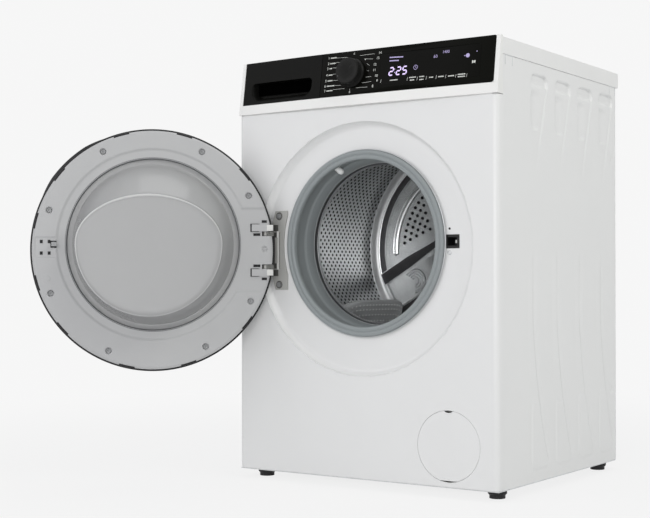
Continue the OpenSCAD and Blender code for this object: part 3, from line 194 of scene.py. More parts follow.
def with_modifiers(mesh, *recipes):
    """Applies modifiers, each given as (type, {setting: value}), and returns the new mesh."""
    obj = bpy.data.objects.new(mesh.name, mesh)
    scene.collection.objects.link(obj)
    for kind, settings in recipes:
        modifier = obj.modifiers.new(kind.lower(), kind)
        for key, value in settings.items():
            setattr(modifier, key, value)
    depsgraph = bpy.context.evaluated_depsgraph_get()
    result = bpy.data.meshes.new_from_object(obj.evaluated_get(depsgraph))
    bpy.data.objects.remove(obj)
    return result


def wall(thickness, offset=-1.0, even=True):
    """The recipe that gives an open skin its wall, in millimetres."""
    return "SOLIDIFY", {"thickness": thickness * mm, "offset": offset, "use_even_offset": even}


def rounding(width, segments=3, angle=50):
    """The recipe that rounds the edges where faces meet at more than an angle in degrees."""
    return "BEVEL", {"width": width * mm, "segments": segments, "limit_method": "ANGLE",
                     "angle_limit": math.radians(angle)}


def sheet_metal(mesh, thickness, offset=-1.0):
    """Gives an open skin its wall, in millimetres."""
    return with_modifiers(mesh, wall(thickness, offset))


def box_mesh(name, *boxes, bevel=0.6):
    """Rounded blocks between pairs of corners, in millimetres."""
    bm = bmesh.new()
    for a, b in boxes:
        size = [(b[i] - a[i]) * mm for i in range(3)]
        centre = at_front(*[(a[i] + b[i]) / 2 for i in range(3)])
        bmesh.ops.create_cube(bm, size=1.0, matrix=Matrix.Translation(centre) @ Matrix.Diagonal((*size, 1)))
    mesh = bpy.data.meshes.new(name)
    bm.to_mesh(mesh)
    bm.free()
    return with_modifiers(mesh, rounding(bevel, 2, 40)) if bevel else mesh


def cut_with(mesh, cutter_mesh):
    """Cuts one closed mesh out of another."""
    cutter = bpy.data.objects.new("cutter", cutter_mesh)
    scene.collection.objects.link(cutter)
    mesh = with_modifiers(mesh, ("BOOLEAN", {"operation": "DIFFERENCE", "object": cutter, "solver": "EXACT"}))
    bpy.data.objects.remove(cutter)
    return mesh


def cut_blocks(mesh, *boxes):
    """Cuts blocks, given by pairs of corners in millimetres, out of a closed mesh."""
    return cut_with(mesh, box_mesh("cutter", *boxes, bevel=0))


def crisp_flats(mesh):
    """Keeps large flat faces flat in the shading, where a small rounding meets them."""
    bm = bmesh.new()
    bm.from_mesh(mesh)
    for edge in bm.edges:
        if len(edge.link_faces) == 2:
            small, large = sorted(face.calc_area() for face in edge.link_faces)
            if large > 3 * small and edge.calc_face_angle(0) > math.radians(1):
                edge.smooth = False
    bm.to_mesh(mesh)
    bm.free()


def add_piece(name, mesh, body, material, replaced=(), smooth=32, weighted=False, bends=None):
    """Places a finished mesh: its shading, material, body and the CAD nodes it stands for.

    The places given in bends are not used: a piece given them is baked in place and joins no body."""
    mesh.shade_smooth()
    mesh.set_sharp_from_angle(angle=math.radians(smooth))
    if weighted:
        crisp_flats(mesh)
    mesh.name = name
    mesh.materials.clear()
    mesh.materials.append(material)
    obj = bpy.data.objects.new(name, mesh)
    scene.collection.objects.link(obj)
    if bends:
        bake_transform(obj)
    else:
        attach(obj, body)
    if replaced:
        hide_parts(*replaced)


def step(a, b, x):
    """Rises smoothly from 0 at a to 1 at b."""
    t = min(1.0, max(0.0, (x - a) / (b - a)))
    return t * t * (3 - 2 * t)


def finish(name, colour, roughness, metallic=0.0, coat=0.0, specular=0.5, grain=400.0, tone=0.04, relief=0.02,
           alpha=1.0, cloud=9.0, glow=0.0):
    """A finish whose colour and gloss vary over the surface, with a fine relief."""
    material = bpy.data.materials.new(name)
    material.use_nodes = True
    nodes, links = material.node_tree.nodes, material.node_tree.links
    shader = nodes["Principled BSDF"]
    shader.inputs["Metallic"].default_value = metallic
    shader.inputs["Coat Weight"].default_value = coat
    shader.inputs["Coat Roughness"].default_value = 0.1
    shader.inputs["Specular IOR Level"].default_value = specular
    shader.inputs["Alpha"].default_value = alpha
    where = nodes.new("ShaderNodeTexCoord")
    place = nodes.new("ShaderNodeMapping")
    links.new(where.outputs["Object"], place.inputs["Vector"])
    broad = nodes.new("ShaderNodeTexNoise")
    broad.inputs["Scale"].default_value = cloud
    broad.inputs["Detail"].default_value = 4.0
    fine = nodes.new("ShaderNodeTexNoise")
    fine.inputs["Scale"].default_value = grain
    fine.inputs["Detail"].default_value = 3.0
    links.new(place.outputs["Vector"], broad.inputs["Vector"])
    links.new(place.outputs["Vector"], fine.inputs["Vector"])
    ramp = nodes.new("ShaderNodeValToRGB")
    low, high = ramp.color_ramp.elements
    low.position, high.position = 0.3, 0.7
    low.color = [c * (1 - tone) for c in colour] + [1]
    high.color = [min(1, c * (1 + tone)) for c in colour] + [1]
    links.new(broad.outputs["Fac"], ramp.inputs["Fac"])
    links.new(ramp.outputs["Color"], shader.inputs["Base Color"])
    if glow:
        links.new(ramp.outputs["Color"], shader.inputs["Emission Color"])
        shader.inputs["Emission Strength"].default_value = glow
    gloss = nodes.new("ShaderNodeMapRange")
    gloss.inputs["To Min"].default_value = roughness * 0.82
    gloss.inputs["To Max"].default_value = min(1.0, roughness * 1.18)
    links.new(fine.outputs["Fac"], gloss.inputs["Value"])
    links.new(gloss.outputs["Result"], shader.inputs["Roughness"])
    bump = nodes.new("ShaderNodeBump")
    bump.inputs["Strength"].default_value = relief
    bump.inputs["Distance"].default_value = 0.001
    links.new(fine.outputs["Fac"], bump.inputs["Height"])
    links.new(bump.outputs["Normal"], shader.inputs["Normal"])
    return material


enamel = finish("white_enamel", (0.775, 0.778, 0.775), 0.32, coat=0.1, grain=700, tone=0.006, relief=0.012)

RIB_FIRST, RIB_PITCH, RIB_WIDTH, RIB_COUNT, RIB_CORNER = 140.0, 106.5, 71.0, 4, 15.0
RIB_TOP, RIB_LOW, RIB_WAIST, RIB_NARROW, WAIST_WIDTH = top_z - 21, 43.0, 455.0, 540.0, 6.0
RIB_STANDS, TROUGH_DEEP, BLOCK_HIGH = 1.2, 2.2, 128.0
RAMP_DEEP, POCKET_DEEP, POCKET_HIGH, DENT_DEEP, DENT_HIGH = 1.5, 3.4, 34.0, 3.2, 104.0
DIMPLE_DEEP, DIMPLES = 2.4, ((527, 665), (524, 170))
SIDE_COLUMNS, FINE_ROW, COARSE_ROW, SIDE_FOLD = 236, 2.2, 9.0, 11.0


def rib_relief(y, z):
    """How far the side panel is pressed in at a place, in millimetres."""
    index = (y - RIB_FIRST + 18) // RIB_PITCH
    if not 0 <= index < RIB_COUNT or not RIB_LOW - 8 < z < RIB_TOP + 8:
        return 0.0
    across = y - RIB_FIRST - index * RIB_PITCH
    upper = z > RIB_WAIST
    if upper:
        share = min(1.0, max(0.0, (z - RIB_NARROW) / (RIB_TOP - 20 - RIB_NARROW)))
    else:
        share = min(1.0, (RIB_WAIST - z) / (RIB_WAIST - RIB_LOW - 14)) ** 2.2
    width = max(WAIST_WIDTH, RIB_WIDTH * share)
    from_end = RIB_TOP - z if upper else z - RIB_LOW
    drawn_in = 0.0
    if from_end < RIB_CORNER:
        drawn_in = RIB_CORNER - math.sqrt(max(0.0, RIB_CORNER * RIB_CORNER - (RIB_CORNER - from_end) ** 2))
    far_edge = width - drawn_in
    far_side = step(far_edge + 1.2, far_edge - 1.6, across) * step(-1, 2.4, from_end)
    inside = far_side * step(drawn_in - 0.6, drawn_in + 2.6, across)
    if not upper:
        # below its waist the rib stands out: a slope up to its far edge, and a block at its foot;
        # a shallow trough lies beyond the edge
        below_waist = step(RIB_WAIST + 20, RIB_WAIST - 40, z)
        lead = 17.0 * (1 - share)
        slope = min(1.0, max(0.0, across + lead) / (width + lead)) * far_side * below_waist
        block = inside * step(BLOCK_HIGH + 3, BLOCK_HIGH - 3, from_end)
        trough = step(far_edge - 1.6, far_edge + 1.6, across) * step(width + 16, width + 3, across)
        trough *= below_waist * step(10, 40, from_end)
        return TROUGH_DEEP * trough - RIB_STANDS * max(slope, block)
    ramp = RAMP_DEEP * step(RIB_NARROW + 40, RIB_NARROW + 150, z) * min(1.0, max(0.0, across) / width) * inside
    pocket = POCKET_DEEP * inside * step(25, 18, from_end)
    # the dent beside the long edge ends in a round corner
    reach = from_end - DENT_HIGH
    dent_left = max(0.0, reach + 16) ** 2 / 34
    dent = DENT_DEEP * step(dent_left - 1, dent_left + 1.6, across) * step(46, 8, across)
    dent *= step(POCKET_HIGH - 4, POCKET_HIGH + 8, from_end)
    return ramp + pocket + dent * step(2.5, -1, reach)


def dimple(y, z, cy, cz):
    """A small pressed dot."""
    return DIMPLE_DEEP * step(7.0, 2.0, math.hypot(y - cy, z - cz))


def side_panel(name, side):
    """One side on a fine grid, with folded edges at the front, rear, top and bottom."""
    first, last = seam_y + 0.7, rear_y
    columns = [first + i * (last - first) / SIDE_COLUMNS for i in range(SIDE_COLUMNS + 1)]
    rows = [FLOOR_GAP + i * FINE_ROW for i in range(70)] + [172 + i * COARSE_ROW for i in range(55)]
    rows += [667 + i * FINE_ROW for i in range(35)] + [PANEL_Z - 0.6, PANEL_Z - 0.4]
    rows += [PANEL_Z + FINE_ROW * i for i in range(1, 32)] + [top_z - 0.4]
    points, faces = [], []
    last_row, last_column = len(rows) + 1, len(columns) + 1
    for i in range(last_row + 1):
        z = rows[min(max(i - 1, 0), len(rows) - 1)]
        for j in range(last_column + 1):
            y = columns[min(max(j - 1, 0), len(columns) - 1)]
            if i in (0, last_row) or j in (0, last_column):
                depth = SIDE_FOLD
            else:
                depth = rib_relief(y, z) + sum(dimple(y, z, *centre) for centre in DIMPLES)
            if z > PANEL_Z - 0.5:
                y = max(y, top_front + 0.6)
            points.append((side * (half_w - RIB_STANDS - depth), y, z))
    span = last_column + 1
    for i in range(last_row):
        for j in range(last_column):
            a = i * span + j
            faces.append((a, a + 1, a + span + 1, a + span) if side > 0 else (a, a + span, a + span + 1, a + 1))
    mesh = mesh_of(name, points, faces, outward=False)
    add_piece(name + "_skin", sheet_metal(mesh, SHEET), "cabinet", enamel, [name], smooth=50)


side_panel("side_panel_right", 1)
side_panel("side_panel_left", -1)

# ---- Rear panel, access cover, floor frame and cross members: galvanised sheet steel.
# They are folded and riveted; the rear panel closes the cabinet and the cover gives access to the belt.
galvanised = finish("galvanised_sheet", (0.62, 0.635, 0.64), 0.36, metallic=0.85, grain=260, tone=0.12,
                    relief=0.03, cloud=60)
zinc = finish("zinc_plate", (0.66, 0.67, 0.68), 0.30, metallic=0.9, grain=600, tone=0.06, relief=0.03, cloud=30)


def dress(material, *names):
    """Gives CAD nodes a better material."""
    for name in names:
        for material_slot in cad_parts[name].material_slots:
            material_slot.material = material


def eased(node, body, material, width=0.8, segments=3, smooth=48, angle=32):
    """A copy of a CAD node with its edges rounded, which stands for the node."""
    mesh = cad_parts[node].data.copy()
    bm = bmesh.new()
    bm.from_mesh(mesh)
    bmesh.ops.remove_doubles(bm, verts=bm.verts, dist=0.00001)
    bmesh.ops.dissolve_limit(bm, angle_limit=math.radians(0.6), verts=bm.verts, edges=bm.edges)
    bm.to_mesh(mesh)
    bm.free()
    mesh = with_modifiers(mesh, rounding(width, segments, angle))
    add_piece(node + "_eased", mesh, body, material, [node], smooth, weighted=True)


dress(galvanised, "rear_panel", "base_frame", "cross_braces")
eased("access_cover", "cabinet", zinc, 0.4)

# ---- Worktop: a pressed board with a moulded white edge, screwed to the cross members.
# It overhangs the cabinet at the rear.
laminate = finish("worktop_laminate", (0.80, 0.80, 0.795), 0.42, grain=520, tone=0.012, relief=0.03)
eased("worktop", "cabinet", laminate, 2.2, 3, angle=50)

# ---- Front panel: one enamelled pressing with a dished recess round the porthole.
# Its upright edges are rolled, and its rim turns back into the porthole under the rubber.
EDGE_R, DISH_R, DISH_Z, DISH_DEPTH, DISH_FLOOR_R = 11.0, 247.0, 466.0, 15.0, 230.0
PORT_R, PORT_Z, FLAP_X, FLAP_Z, FLAP_R = 174.0, 477.0, 195.0, 96.0, 66.9
LOCK_X, LOCK_Z, LOCK_W, LOCK_H = 194.5, 477.0, 23.0, 24.0
PANEL_LOW, PANEL_HIGH = FLOOR_GAP + 2, PANEL_Z - 1
FOLD_R, FOLD_IN, MARGIN, ROUND = 1.6, 10.5, 1.2, 192


def circle(cx, cz, r, count):
    """Points of a circle in a face of the cabinet."""
    turns = [2 * math.pi * i / count for i in range(count)]
    return [(cx + r * math.cos(a), cz + r * math.sin(a)) for a in turns]


def ring(cx, cz, r, y, count=ROUND):
    """A circle of points at a depth."""
    return [(x, y, z) for x, z in circle(cx, cz, r, count)]


def rectangle(x0, x1, z0, z1):
    """Its corners, from the lower left one anticlockwise."""
    return [(x0, z0), (x1, z0), (x1, z1), (x0, z1)]


def flat_fill(loops, inside, loose=()):
    """Triangles between closed loops, keeping those whose centre passes a test; loose points let the fill bend."""
    points, edges = [], []
    for loop in loops:
        start = len(points)
        points += [Vector(p) for p in loop]
        edges += [(start + i, start + (i + 1) % len(loop)) for i in range(len(loop))]
    points += [Vector(p) for p in loose]
    verts, _, tris, _, _, _ = delaunay_2d_cdt(points, edges, [], 0, 1e-6)
    keep = []
    for tri in tris:
        centre = sum((verts[i] for i in tri), Vector((0, 0))) / len(tri)
        if inside(centre.x, centre.y):
            keep.append(tuple(tri))
    return verts, keep


def add_part(points, faces, new_points, new_faces):
    """Appends points and faces to a growing skin."""
    base = len(points)
    points += new_points
    faces += [tuple(base + i for i in face) for face in new_faces]


def strips(rows, closed=False):
    """Faces between rows of equally many points."""
    points, faces = [], []
    span = len(rows[0])
    for row in rows:
        points += row
    for i in range(len(rows) - 1):
        for j in range(span if closed else span - 1):
            k = (j + 1) % span
            faces.append((i * span + j, i * span + k, (i + 1) * span + k, (i + 1) * span + j))
    return points, faces


# the flat face, with its openings for the recess and for the pump flap
points, faces = [], []
flat_x, low, high = half_w - EDGE_R, PANEL_LOW + FOLD_R, PANEL_HIGH - FOLD_R
corner = rectangle(-flat_x, flat_x, low, high)
border = rectangle(-flat_x + MARGIN, flat_x - MARGIN, low + MARGIN, high - MARGIN)
add_part(points, faces, *strips([[(x, 0, z) for x, z in corner], [(x, 0, z) for x, z in border]], closed=True))
add_part(points, faces, *strips([ring(0, DISH_Z, r, 0) for r in (DISH_R, DISH_R + MARGIN)], closed=True))
verts, tris = flat_fill(
    [border, circle(0, DISH_Z, DISH_R + MARGIN, ROUND), circle(FLAP_X, FLAP_Z, FLAP_R, 128)],
    lambda x, z: math.hypot(x, z - DISH_Z) > DISH_R + 0.9
    and math.hypot(x - FLAP_X, z - FLAP_Z) > FLAP_R - 0.2)
add_part(points, faces, [(v.x, 0.0, v.y) for v in verts], tris)


def front_halves(inset, z):
    """Plan of the panel at a height: from the left seam to its flat, and from its flat to the right seam."""
    halves = []
    for side in (-1, 1):
        arc = [(side * (half_w - inset), seam_y, z)]
        for a in (math.pi / 2 * i / 10 for i in range(11)):
            arc.append((side * (flat_x + (EDGE_R - inset) * math.cos(a)), EDGE_R - (EDGE_R - inset) * math.sin(a), z))
        halves.append(arc if side < 0 else arc[::-1])
    return halves


# the rolled upright edges, and the folds at the top and bottom
fold = [math.pi / 2 * k / 4 for k in range(5)]
plans = [front_halves(FOLD_IN, PANEL_LOW)]
plans += [front_halves(FOLD_R - FOLD_R * math.sin(a), PANEL_LOW + FOLD_R - FOLD_R * math.cos(a)) for a in fold]
plans += [front_halves(FOLD_R - FOLD_R * math.cos(a), PANEL_HIGH - FOLD_R + FOLD_R * math.sin(a)) for a in fold]
plans += [front_halves(FOLD_IN, PANEL_HIGH)]
for half in (0, 1):
    add_part(points, faces, *strips([plan[half] for plan in plans]))
for edge, direction in ((PANEL_LOW, 1), (PANEL_HIGH, -1)):
    rows = []
    for a in fold:
        y, z = FOLD_R * (1 - math.cos(a)), edge + direction * FOLD_R * (1 - math.sin(a))
        rows.append([(-flat_x, y, z), (flat_x, y, z)])
    rows.append([(-flat_x, FOLD_IN, edge), (flat_x, FOLD_IN, edge)])
    add_part(points, faces, *strips(rows))

# the recess: its curved wall, its floor with the lock's opening, and the rim round the porthole
wall_r = DISH_R - DISH_FLOOR_R
recess = [ring(0, DISH_Z, DISH_FLOOR_R + wall_r * math.cos(a), wall_r * math.sin(a))
          for a in (math.radians(62) * i / 12 for i in range(13))]
recess += [ring(0, DISH_Z, DISH_FLOOR_R + 3.2, DISH_DEPTH), ring(0, DISH_Z, DISH_FLOOR_R + 2, DISH_DEPTH)]
add_part(points, faces, *strips(recess, closed=True))
opening = rectangle(LOCK_X - LOCK_W / 2, LOCK_X + LOCK_W / 2, LOCK_Z - LOCK_H / 2, LOCK_Z + LOCK_H / 2)
verts, tris = flat_fill(
    [circle(0, DISH_Z, DISH_FLOOR_R + 2, ROUND), circle(0, PORT_Z, PORT_R + 2.2, ROUND), opening],
    lambda x, z: math.hypot(x, z - DISH_Z) < DISH_FLOOR_R + 1.9 and math.hypot(x, z - PORT_Z) > PORT_R + 2.1
    and not (abs(x - LOCK_X) < LOCK_W / 2 and abs(z - LOCK_Z) < LOCK_H / 2))
add_part(points, faces, [(v.x, DISH_DEPTH, v.y) for v in verts], tris)
rim_rows = [ring(0, PORT_Z, PORT_R + 2.2, DISH_DEPTH)]
rim_rows += [ring(0, PORT_Z, PORT_R + 1 - math.sin(a), DISH_DEPTH + 1 - math.cos(a)) for a in (0, 0.5, 1.05, 1.57)]
rim_rows += [ring(0, PORT_Z, PORT_R, DISH_DEPTH + 8)]
add_part(points, faces, *strips(rim_rows, closed=True))
front = mesh_of("front_panel", points, faces)
add_piece("front_panel_pressing", sheet_metal(front, SHEET), "cabinet", enamel, ["front_panel"],
          smooth=40)

# A pale strip closes the joint under the control panel.
joint = box_mesh("joint_strip", ((-half_w + 12, 1.2, PANEL_Z - 3), (half_w - 12, 2.4, PANEL_Z + 2)), bevel=0)
add_piece("joint_strip", joint, "cabinet", enamel)

# ---- Control panel: a white moulded carrier, bowed and leaning, with a gloss black fascia.
# A thin printed film shows numbers round the knob and plain marks for the touch keys.
PANEL_LEAN, PANEL_BOW, PANEL_PROUD, FASCIA_T, FASCIA_Z, FASCIA_X = 16.0, 9.0, 10.0, 3.0, 765.0, 289.5
BOW_R = half_w * half_w / (2 * PANEL_BOW) + PANEL_BOW / 2
LEAN = math.atan(PANEL_LEAN / (PANEL_TOP - PANEL_Z))
SEAM_X, KNOB_X, KNOB_Z = -92.0, -18.0, 808.0
WINDOW_X, WINDOW_W, WINDOW_H = 45.0, 216.0, 62.0
WINDOW_Z = (FASCIA_Z + PANEL_TOP) / 2 - WINDOW_H / 2
PRINT_GRAIN = 900
white_plastic = finish("white_moulded_plastic", (0.80, 0.80, 0.785), 0.38, grain=PRINT_GRAIN, tone=0.01, relief=0.03)
gloss_black = finish("gloss_black_fascia", (0.0036, 0.0038, 0.0028), 0.22, specular=0.03, grain=PRINT_GRAIN,
                     tone=0.10, relief=0.01)
smoked = finish("smoked_display", (0.0034, 0.0035, 0.0028), 0.14, specular=0.03, grain=PRINT_GRAIN, tone=0.12,
                relief=0.004)


def face_y(x, z):
    """Depth of the control panel's face."""
    return -PANEL_PROUD + PANEL_LEAN * (z - PANEL_Z) / (PANEL_TOP - PANEL_Z) + x * x / (2 * BOW_R)


def on_face(x, z, lift=0.0):
    """A place on the control panel's face, lifted off it, in millimetres."""
    return at_front(x, face_y(x, z) - lift, z)


eased("control_panel", "cabinet", white_plastic, 1.6, 3, smooth=25, angle=50)


def face_forward(mesh):
    """Turns the faces of an open plate to the front."""
    bm = bmesh.new()
    bm.from_mesh(mesh)
    if sum(face.normal.y for face in bm.faces) > 0:
        bmesh.ops.reverse_faces(bm, faces=bm.faces)
    bm.to_mesh(mesh)
    bm.free()
    return mesh


def face_plate(name, x0, x1, z0, z1, thickness, radii, bevel, hole=()):
    """A plate that follows the face, with round corners (lower left, lower right, upper right, upper left)."""
    outline = []
    for (cx, cz, a0), r in zip(((x0, z0, 180), (x1, z0, 270), (x1, z1, 0), (x0, z1, 90)), radii):
        sx = 1 if cx == x0 else -1
        sz = 1 if cz == z0 else -1
        for i in range(7):
            a = math.radians(a0 + 15 * i)
            outline.append((cx + sx * r + r * math.cos(a), cz + sz * r + r * math.sin(a)))
    hole_x, hole_z = [p[0] for p in hole], [p[1] for p in hole]

    def in_hole(x, z, margin=0):
        return bool(hole) and (min(hole_x) - margin < x < max(hole_x) + margin
                               and min(hole_z) - margin < z < max(hole_z) + margin)

    inner = [(x0 + 6 + i * (x1 - x0 - 12) / 40, z0 + 6 + j * (z1 - z0 - 12) / 6) for i in range(41) for j in range(7)]
    inner = [p for p in inner if not in_hole(*p, margin=1)]
    verts, tris = flat_fill([outline, hole] if hole else [outline], lambda x, z: not in_hole(x, z), inner)
    mesh = face_forward(mesh_of(name, [(v.x, face_y(v.x, v.y), v.y) for v in verts], tris))
    return with_modifiers(mesh, wall(thickness), rounding(bevel))


corners = rectangle(WINDOW_X, WINDOW_X + WINDOW_W, WINDOW_Z, WINDOW_Z + WINDOW_H)
window_hole = [(a[0] + (b[0] - a[0]) * i / 24, a[1] + (b[1] - a[1]) * i / 24)
               for a, b in zip(corners, corners[1:] + corners[:1]) for i in range(24)]
fascia = face_plate("fascia", SEAM_X + 0.8, FASCIA_X, FASCIA_Z, PANEL_TOP, FASCIA_T, (0.6, 9, 3, 0.6), 0.5,
                    window_hole)
add_piece("fascia_plate", fascia, "cabinet", gloss_black, ["fascia"], smooth=48, weighted=True)
WINDOW_GAP, WINDOW_SUNK = 0.25, 0.05
window = face_plate("display", WINDOW_X + WINDOW_GAP, WINDOW_X + WINDOW_W - WINDOW_GAP, WINDOW_Z + WINDOW_GAP,
                    WINDOW_Z + WINDOW_H - WINDOW_GAP, FASCIA_T - 0.4, (0.6, 0.6, 0.6, 0.6), 0.2)
window.transform(Matrix.Translation((0, WINDOW_SUNK * mm, 0)))
add_piece("display_lens", window, "cabinet", smoked, ["display_window"], smooth=48, weighted=True)
dress(finish("green_circuit_board", (0.02, 0.12, 0.05), 0.45, grain=200, tone=0.3, relief=0.05, cloud=80),
      "display_board")

# The white print glows a little: painted light that brightens it on the black fascia.
white_print = finish("white_print", (0.52, 0.53, 0.50), 0.5, grain=PRINT_GRAIN, tone=0.06, relief=0.0, glow=0.25)
lilac_light = finish("lilac_display_light", (0.60, 0.49, 0.78), 0.5, grain=PRINT_GRAIN, tone=0.05, relief=0.0,
                     glow=0.62)
dim_light = finish("dim_display_light", (0.30, 0.26, 0.44), 0.5, grain=PRINT_GRAIN, tone=0.1, relief=0.0, glow=0.5)


class Print:
    """Flat marks gathered into one thin piece on the face."""

    def __init__(self):
        self.points, self.faces = [], []

    def polygon(self, outline):
        base = len(self.points)
        self.points += outline
        self.faces.append(tuple(range(base, base + len(outline))))

    def line(self, x0, z0, x1, z1, width=0.55):
        along = Vector((x1 - x0, z1 - z0)).normalized() * width / 2
        across = Vector((-along.y, along.x))
        pieces = max(1, int(abs(x1 - x0) / 12))
        for i in range(pieces):
            a = Vector((x0, z0)).lerp(Vector((x1, z1)), i / pieces)
            b = Vector((x0, z0)).lerp(Vector((x1, z1)), (i + 1) / pieces)
            self.polygon([tuple(a + across), tuple(a - across), tuple(b - across), tuple(b + across)])

    def text(self, words, x, z, size, align="CENTER"):
        curve = bpy.data.curves.new("figures", "FONT")
        curve.body = words
        curve.size = size
        curve.align_x = align
        curve.align_y = "CENTER"
        curve.resolution_u = 3
        obj = bpy.data.objects.new("figures", curve)
        scene.collection.objects.link(obj)
        mesh = bpy.data.meshes.new_from_object(obj.evaluated_get(bpy.context.evaluated_depsgraph_get()))
        base = len(self.points)
        self.points += [(v.co.x + x, v.co.y + z) for v in mesh.vertices]
        self.faces += [tuple(base + i for i in face.vertices) for face in mesh.polygons]
        bpy.data.objects.remove(obj)

    def piece(self, name, body, material, lift=0.12):
        mesh = bpy.data.meshes.new(name)
        mesh.from_pydata([on_face(x, z, lift) for x, z in self.points], [], self.faces)
        bm = bmesh.new()
        bm.from_mesh(mesh)
        for face in bm.faces:
            face.normal_update()
            if face.normal.y > 0:
                face.normal_flip()
        bm.to_mesh(mesh)
        bm.free()
        mesh = sheet_metal(mesh, 0.1, -1.0)
        add_piece(name, mesh, body, material, smooth=60)


marks = Print()


def dash_row(x0, x1, z, width=2.2):
    """A row of short bars of uneven length."""
    x = x0
    while x < x1 - 1:
        end = min(x1, x + 1.8 + (x * 7) % 1.5)
        marks.line(x, z, end, z, width)
        x = end + 0.6


# left of the knob: a number, a row of bars from x0 to x1 at height z, and a leader line from there to the knob
for number, (z, x0, x1, z0, z1, x_end) in enumerate((
        (843, -78, -58, 842, 841, -31), (832, -78, -59, 833, 833, -48), (822, -79, -66, 823, 822, -54),
        (809, -80, -65, 810, 810, -56), (797.5, -81, -63, 797.5, 797, -49.5), (787, -82, -57, 787, 786, -43),
        (777.5, -82, -61, 779, 779, -33))):
    marks.text(str(number + 1), x0, z, 7.0, "LEFT")
    dash_row(x0 + 6, x1, z)
    marks.line(x1 + 1, z0, x_end, z1, 0.5)
# right of the knob: a leader line, and a number at its end
for number, (z, x0, line_start, z0, line_end) in enumerate((
        (842.5, 34, -2.7, 841.5, 31), (832.5, 30, 8, 834, 28), (820.5, 24, 15, 823.7, 21),
        (809.5, 24, 17.5, 810.5, 21), (798, 29, 15, 797.3, 27), (788, 30, 6.6, 786.6, 28),
        (778, 21, -5.7, 778, 20))):
    marks.text(str(14 - number), x0 + 13, z, 7.0, "RIGHT")
    marks.line(line_start, z0, line_end, z - 0.5, 0.5)
marks.text("0", -16.3, 846.5, 6.0)
marks.text("8", -20.6, 771, 6.0)
marks.line(-20.3, 774.8, -20.3, 777.5, 0.6)
# the touch keys: strokes between them, and bars where each is named
for x, z in ((109, 785.3), (130.6, 784.6), (150, 784.2), (171.2, 783.6), (191, 783.1), (212, 782.6),
             (234.3, 781.9), (50.2, 786.2)):
    marks.line(x - 0.5, z - 3.2, x + 0.5, z + 3.2, 0.6)
for x0, x1, z in ((70.5, 87.5, 786), (113, 127.5, 787.7), (115, 125.5, 782.5), (135, 145.3, 787.5),
                  (135.5, 145.7, 781.8), (156.3, 166.3, 784.3), (175.3, 188, 784), (196, 208.4, 783.4),
                  (216, 232, 784.7), (216.5, 232.3, 780.4)):
    dash_row(x0, x1, z, 2.0)
marks.polygon([(243.6, 803.4), (246.6, 804.6), (246.6, 808.2), (243.6, 809.4)])
marks.line(247.6, 806.4, 250.4, 806.4, 4.6)
marks.polygon(circle(10.6, 832.9, 1.3, 14))
marks.piece("fascia_print", "cabinet", white_print)

SEGMENTS = {"2": "abged", "5": "afgcd"}
digits = Print()


def seven_segment(figure, x, z, w, h, t=2.6):
    """One lit figure, leaning a little, made of separate bars."""
    lean = 0.12
    gap = 0.35
    places = {"a": (0, h, w, h), "g": (0, h / 2, w, h / 2), "d": (0, 0, w, 0), "f": (0, h / 2, 0, h),
              "b": (w, h / 2, w, h), "e": (0, 0, 0, h / 2), "c": (w, 0, w, h / 2)}
    for key in SEGMENTS[figure]:
        x0, z0, x1, z1 = places[key]
        a, b = Vector((x0, z0)), Vector((x1, z1))
        along = (b - a).normalized()
        across = Vector((-along.y, along.x)) * t / 2
        a, b = a + along * gap, b - along * gap
        outline = [a, a + along * t / 2 + across, b - along * t / 2 + across, b, b - along * t / 2 - across,
                   a + along * t / 2 - across]
        digits.polygon([(x + p.x + p.y * lean, z + p.y) for p in outline])


for figure, x in (("2", 67.0), ("2", 83.0), ("5", 96.5)):
    seven_segment(figure, x, 796.0, 8.4, 14.4)
for z in (800.5, 807):
    digits.polygon([(79.6 + px, z + pz) for px, pz in circle(0, 0, 0.8, 8)])
digits.piece("display_digits", "cabinet", lilac_light, lift=0.02)

# the clock, two plain numbers, two bars and two dots
CLOCK_X, CLOCK_Z = 125.1, 806.6
signs = Print()
outside, inside = circle(CLOCK_X, CLOCK_Z, 4.6, 28), circle(CLOCK_X, CLOCK_Z, 3.7, 28)
for i in range(28):
    k = (i + 1) % 28
    signs.polygon([outside[i], outside[k], inside[k], inside[i]])
signs.line(CLOCK_X, CLOCK_Z, 125.1, 809.4, 0.8)
signs.line(CLOCK_X, CLOCK_Z, 127.2, 805.6, 0.8)
signs.text("60", 166.5, 823.5, 8.5)
signs.text("1400", 188, 830.3, 7.5)
signs.line(66, 831.0, 96, 829.6, 2.2)
signs.line(66, 824.4, 87, 823.4, 2.2)
signs.polygon(circle(233.9, 819.3, 3.9, 20))
signs.line(226.5, 819.3, 229.2, 819.3, 1.3)
signs.polygon(circle(252.3, 825.6, 1.1, 12))
signs.piece("display_signs", "cabinet", dim_light, lift=0.02)

# ---- Programme knob: a matt black cap with a turned skirt, on the encoder's spindle.
# A small dot moulded in its face marks where it points.
matt_black = finish("matt_black_plastic", (0.0080, 0.0081, 0.0076), 0.40, specular=0.10, grain=900, tone=0.08,
                    relief=0.02)
KNOB_R, KNOB_CAP_R, KNOB_H, DOT_FROM_AXIS, DOT_TURN = 29.0, 26.0, 20.0, 22.0, math.radians(205)
knob_lean = Matrix.Rotation(-LEAN, 4, "X")
knob_seat = on_face(KNOB_X, KNOB_Z)


def turned(name, profile, place, count=96, closed_profile=True):
    """A turned body: profile points (radius, height) round the axis; place maps (u, v, height) to the frame."""
    turns = [2 * math.pi * i / count for i in range(count)]
    rows = [[(r * math.cos(a), r * math.sin(a), h) for a in turns] for r, h in profile]
    if closed_profile:
        rows.append(rows[0])
    return mesh_of(name, *strips(rows, closed=True), place)


def on_knob(u, v, h):
    """A place on the knob: across, up, and out from the panel's face."""
    return knob_seat + knob_lean @ Vector((u * mm, -h * mm, v * mm))


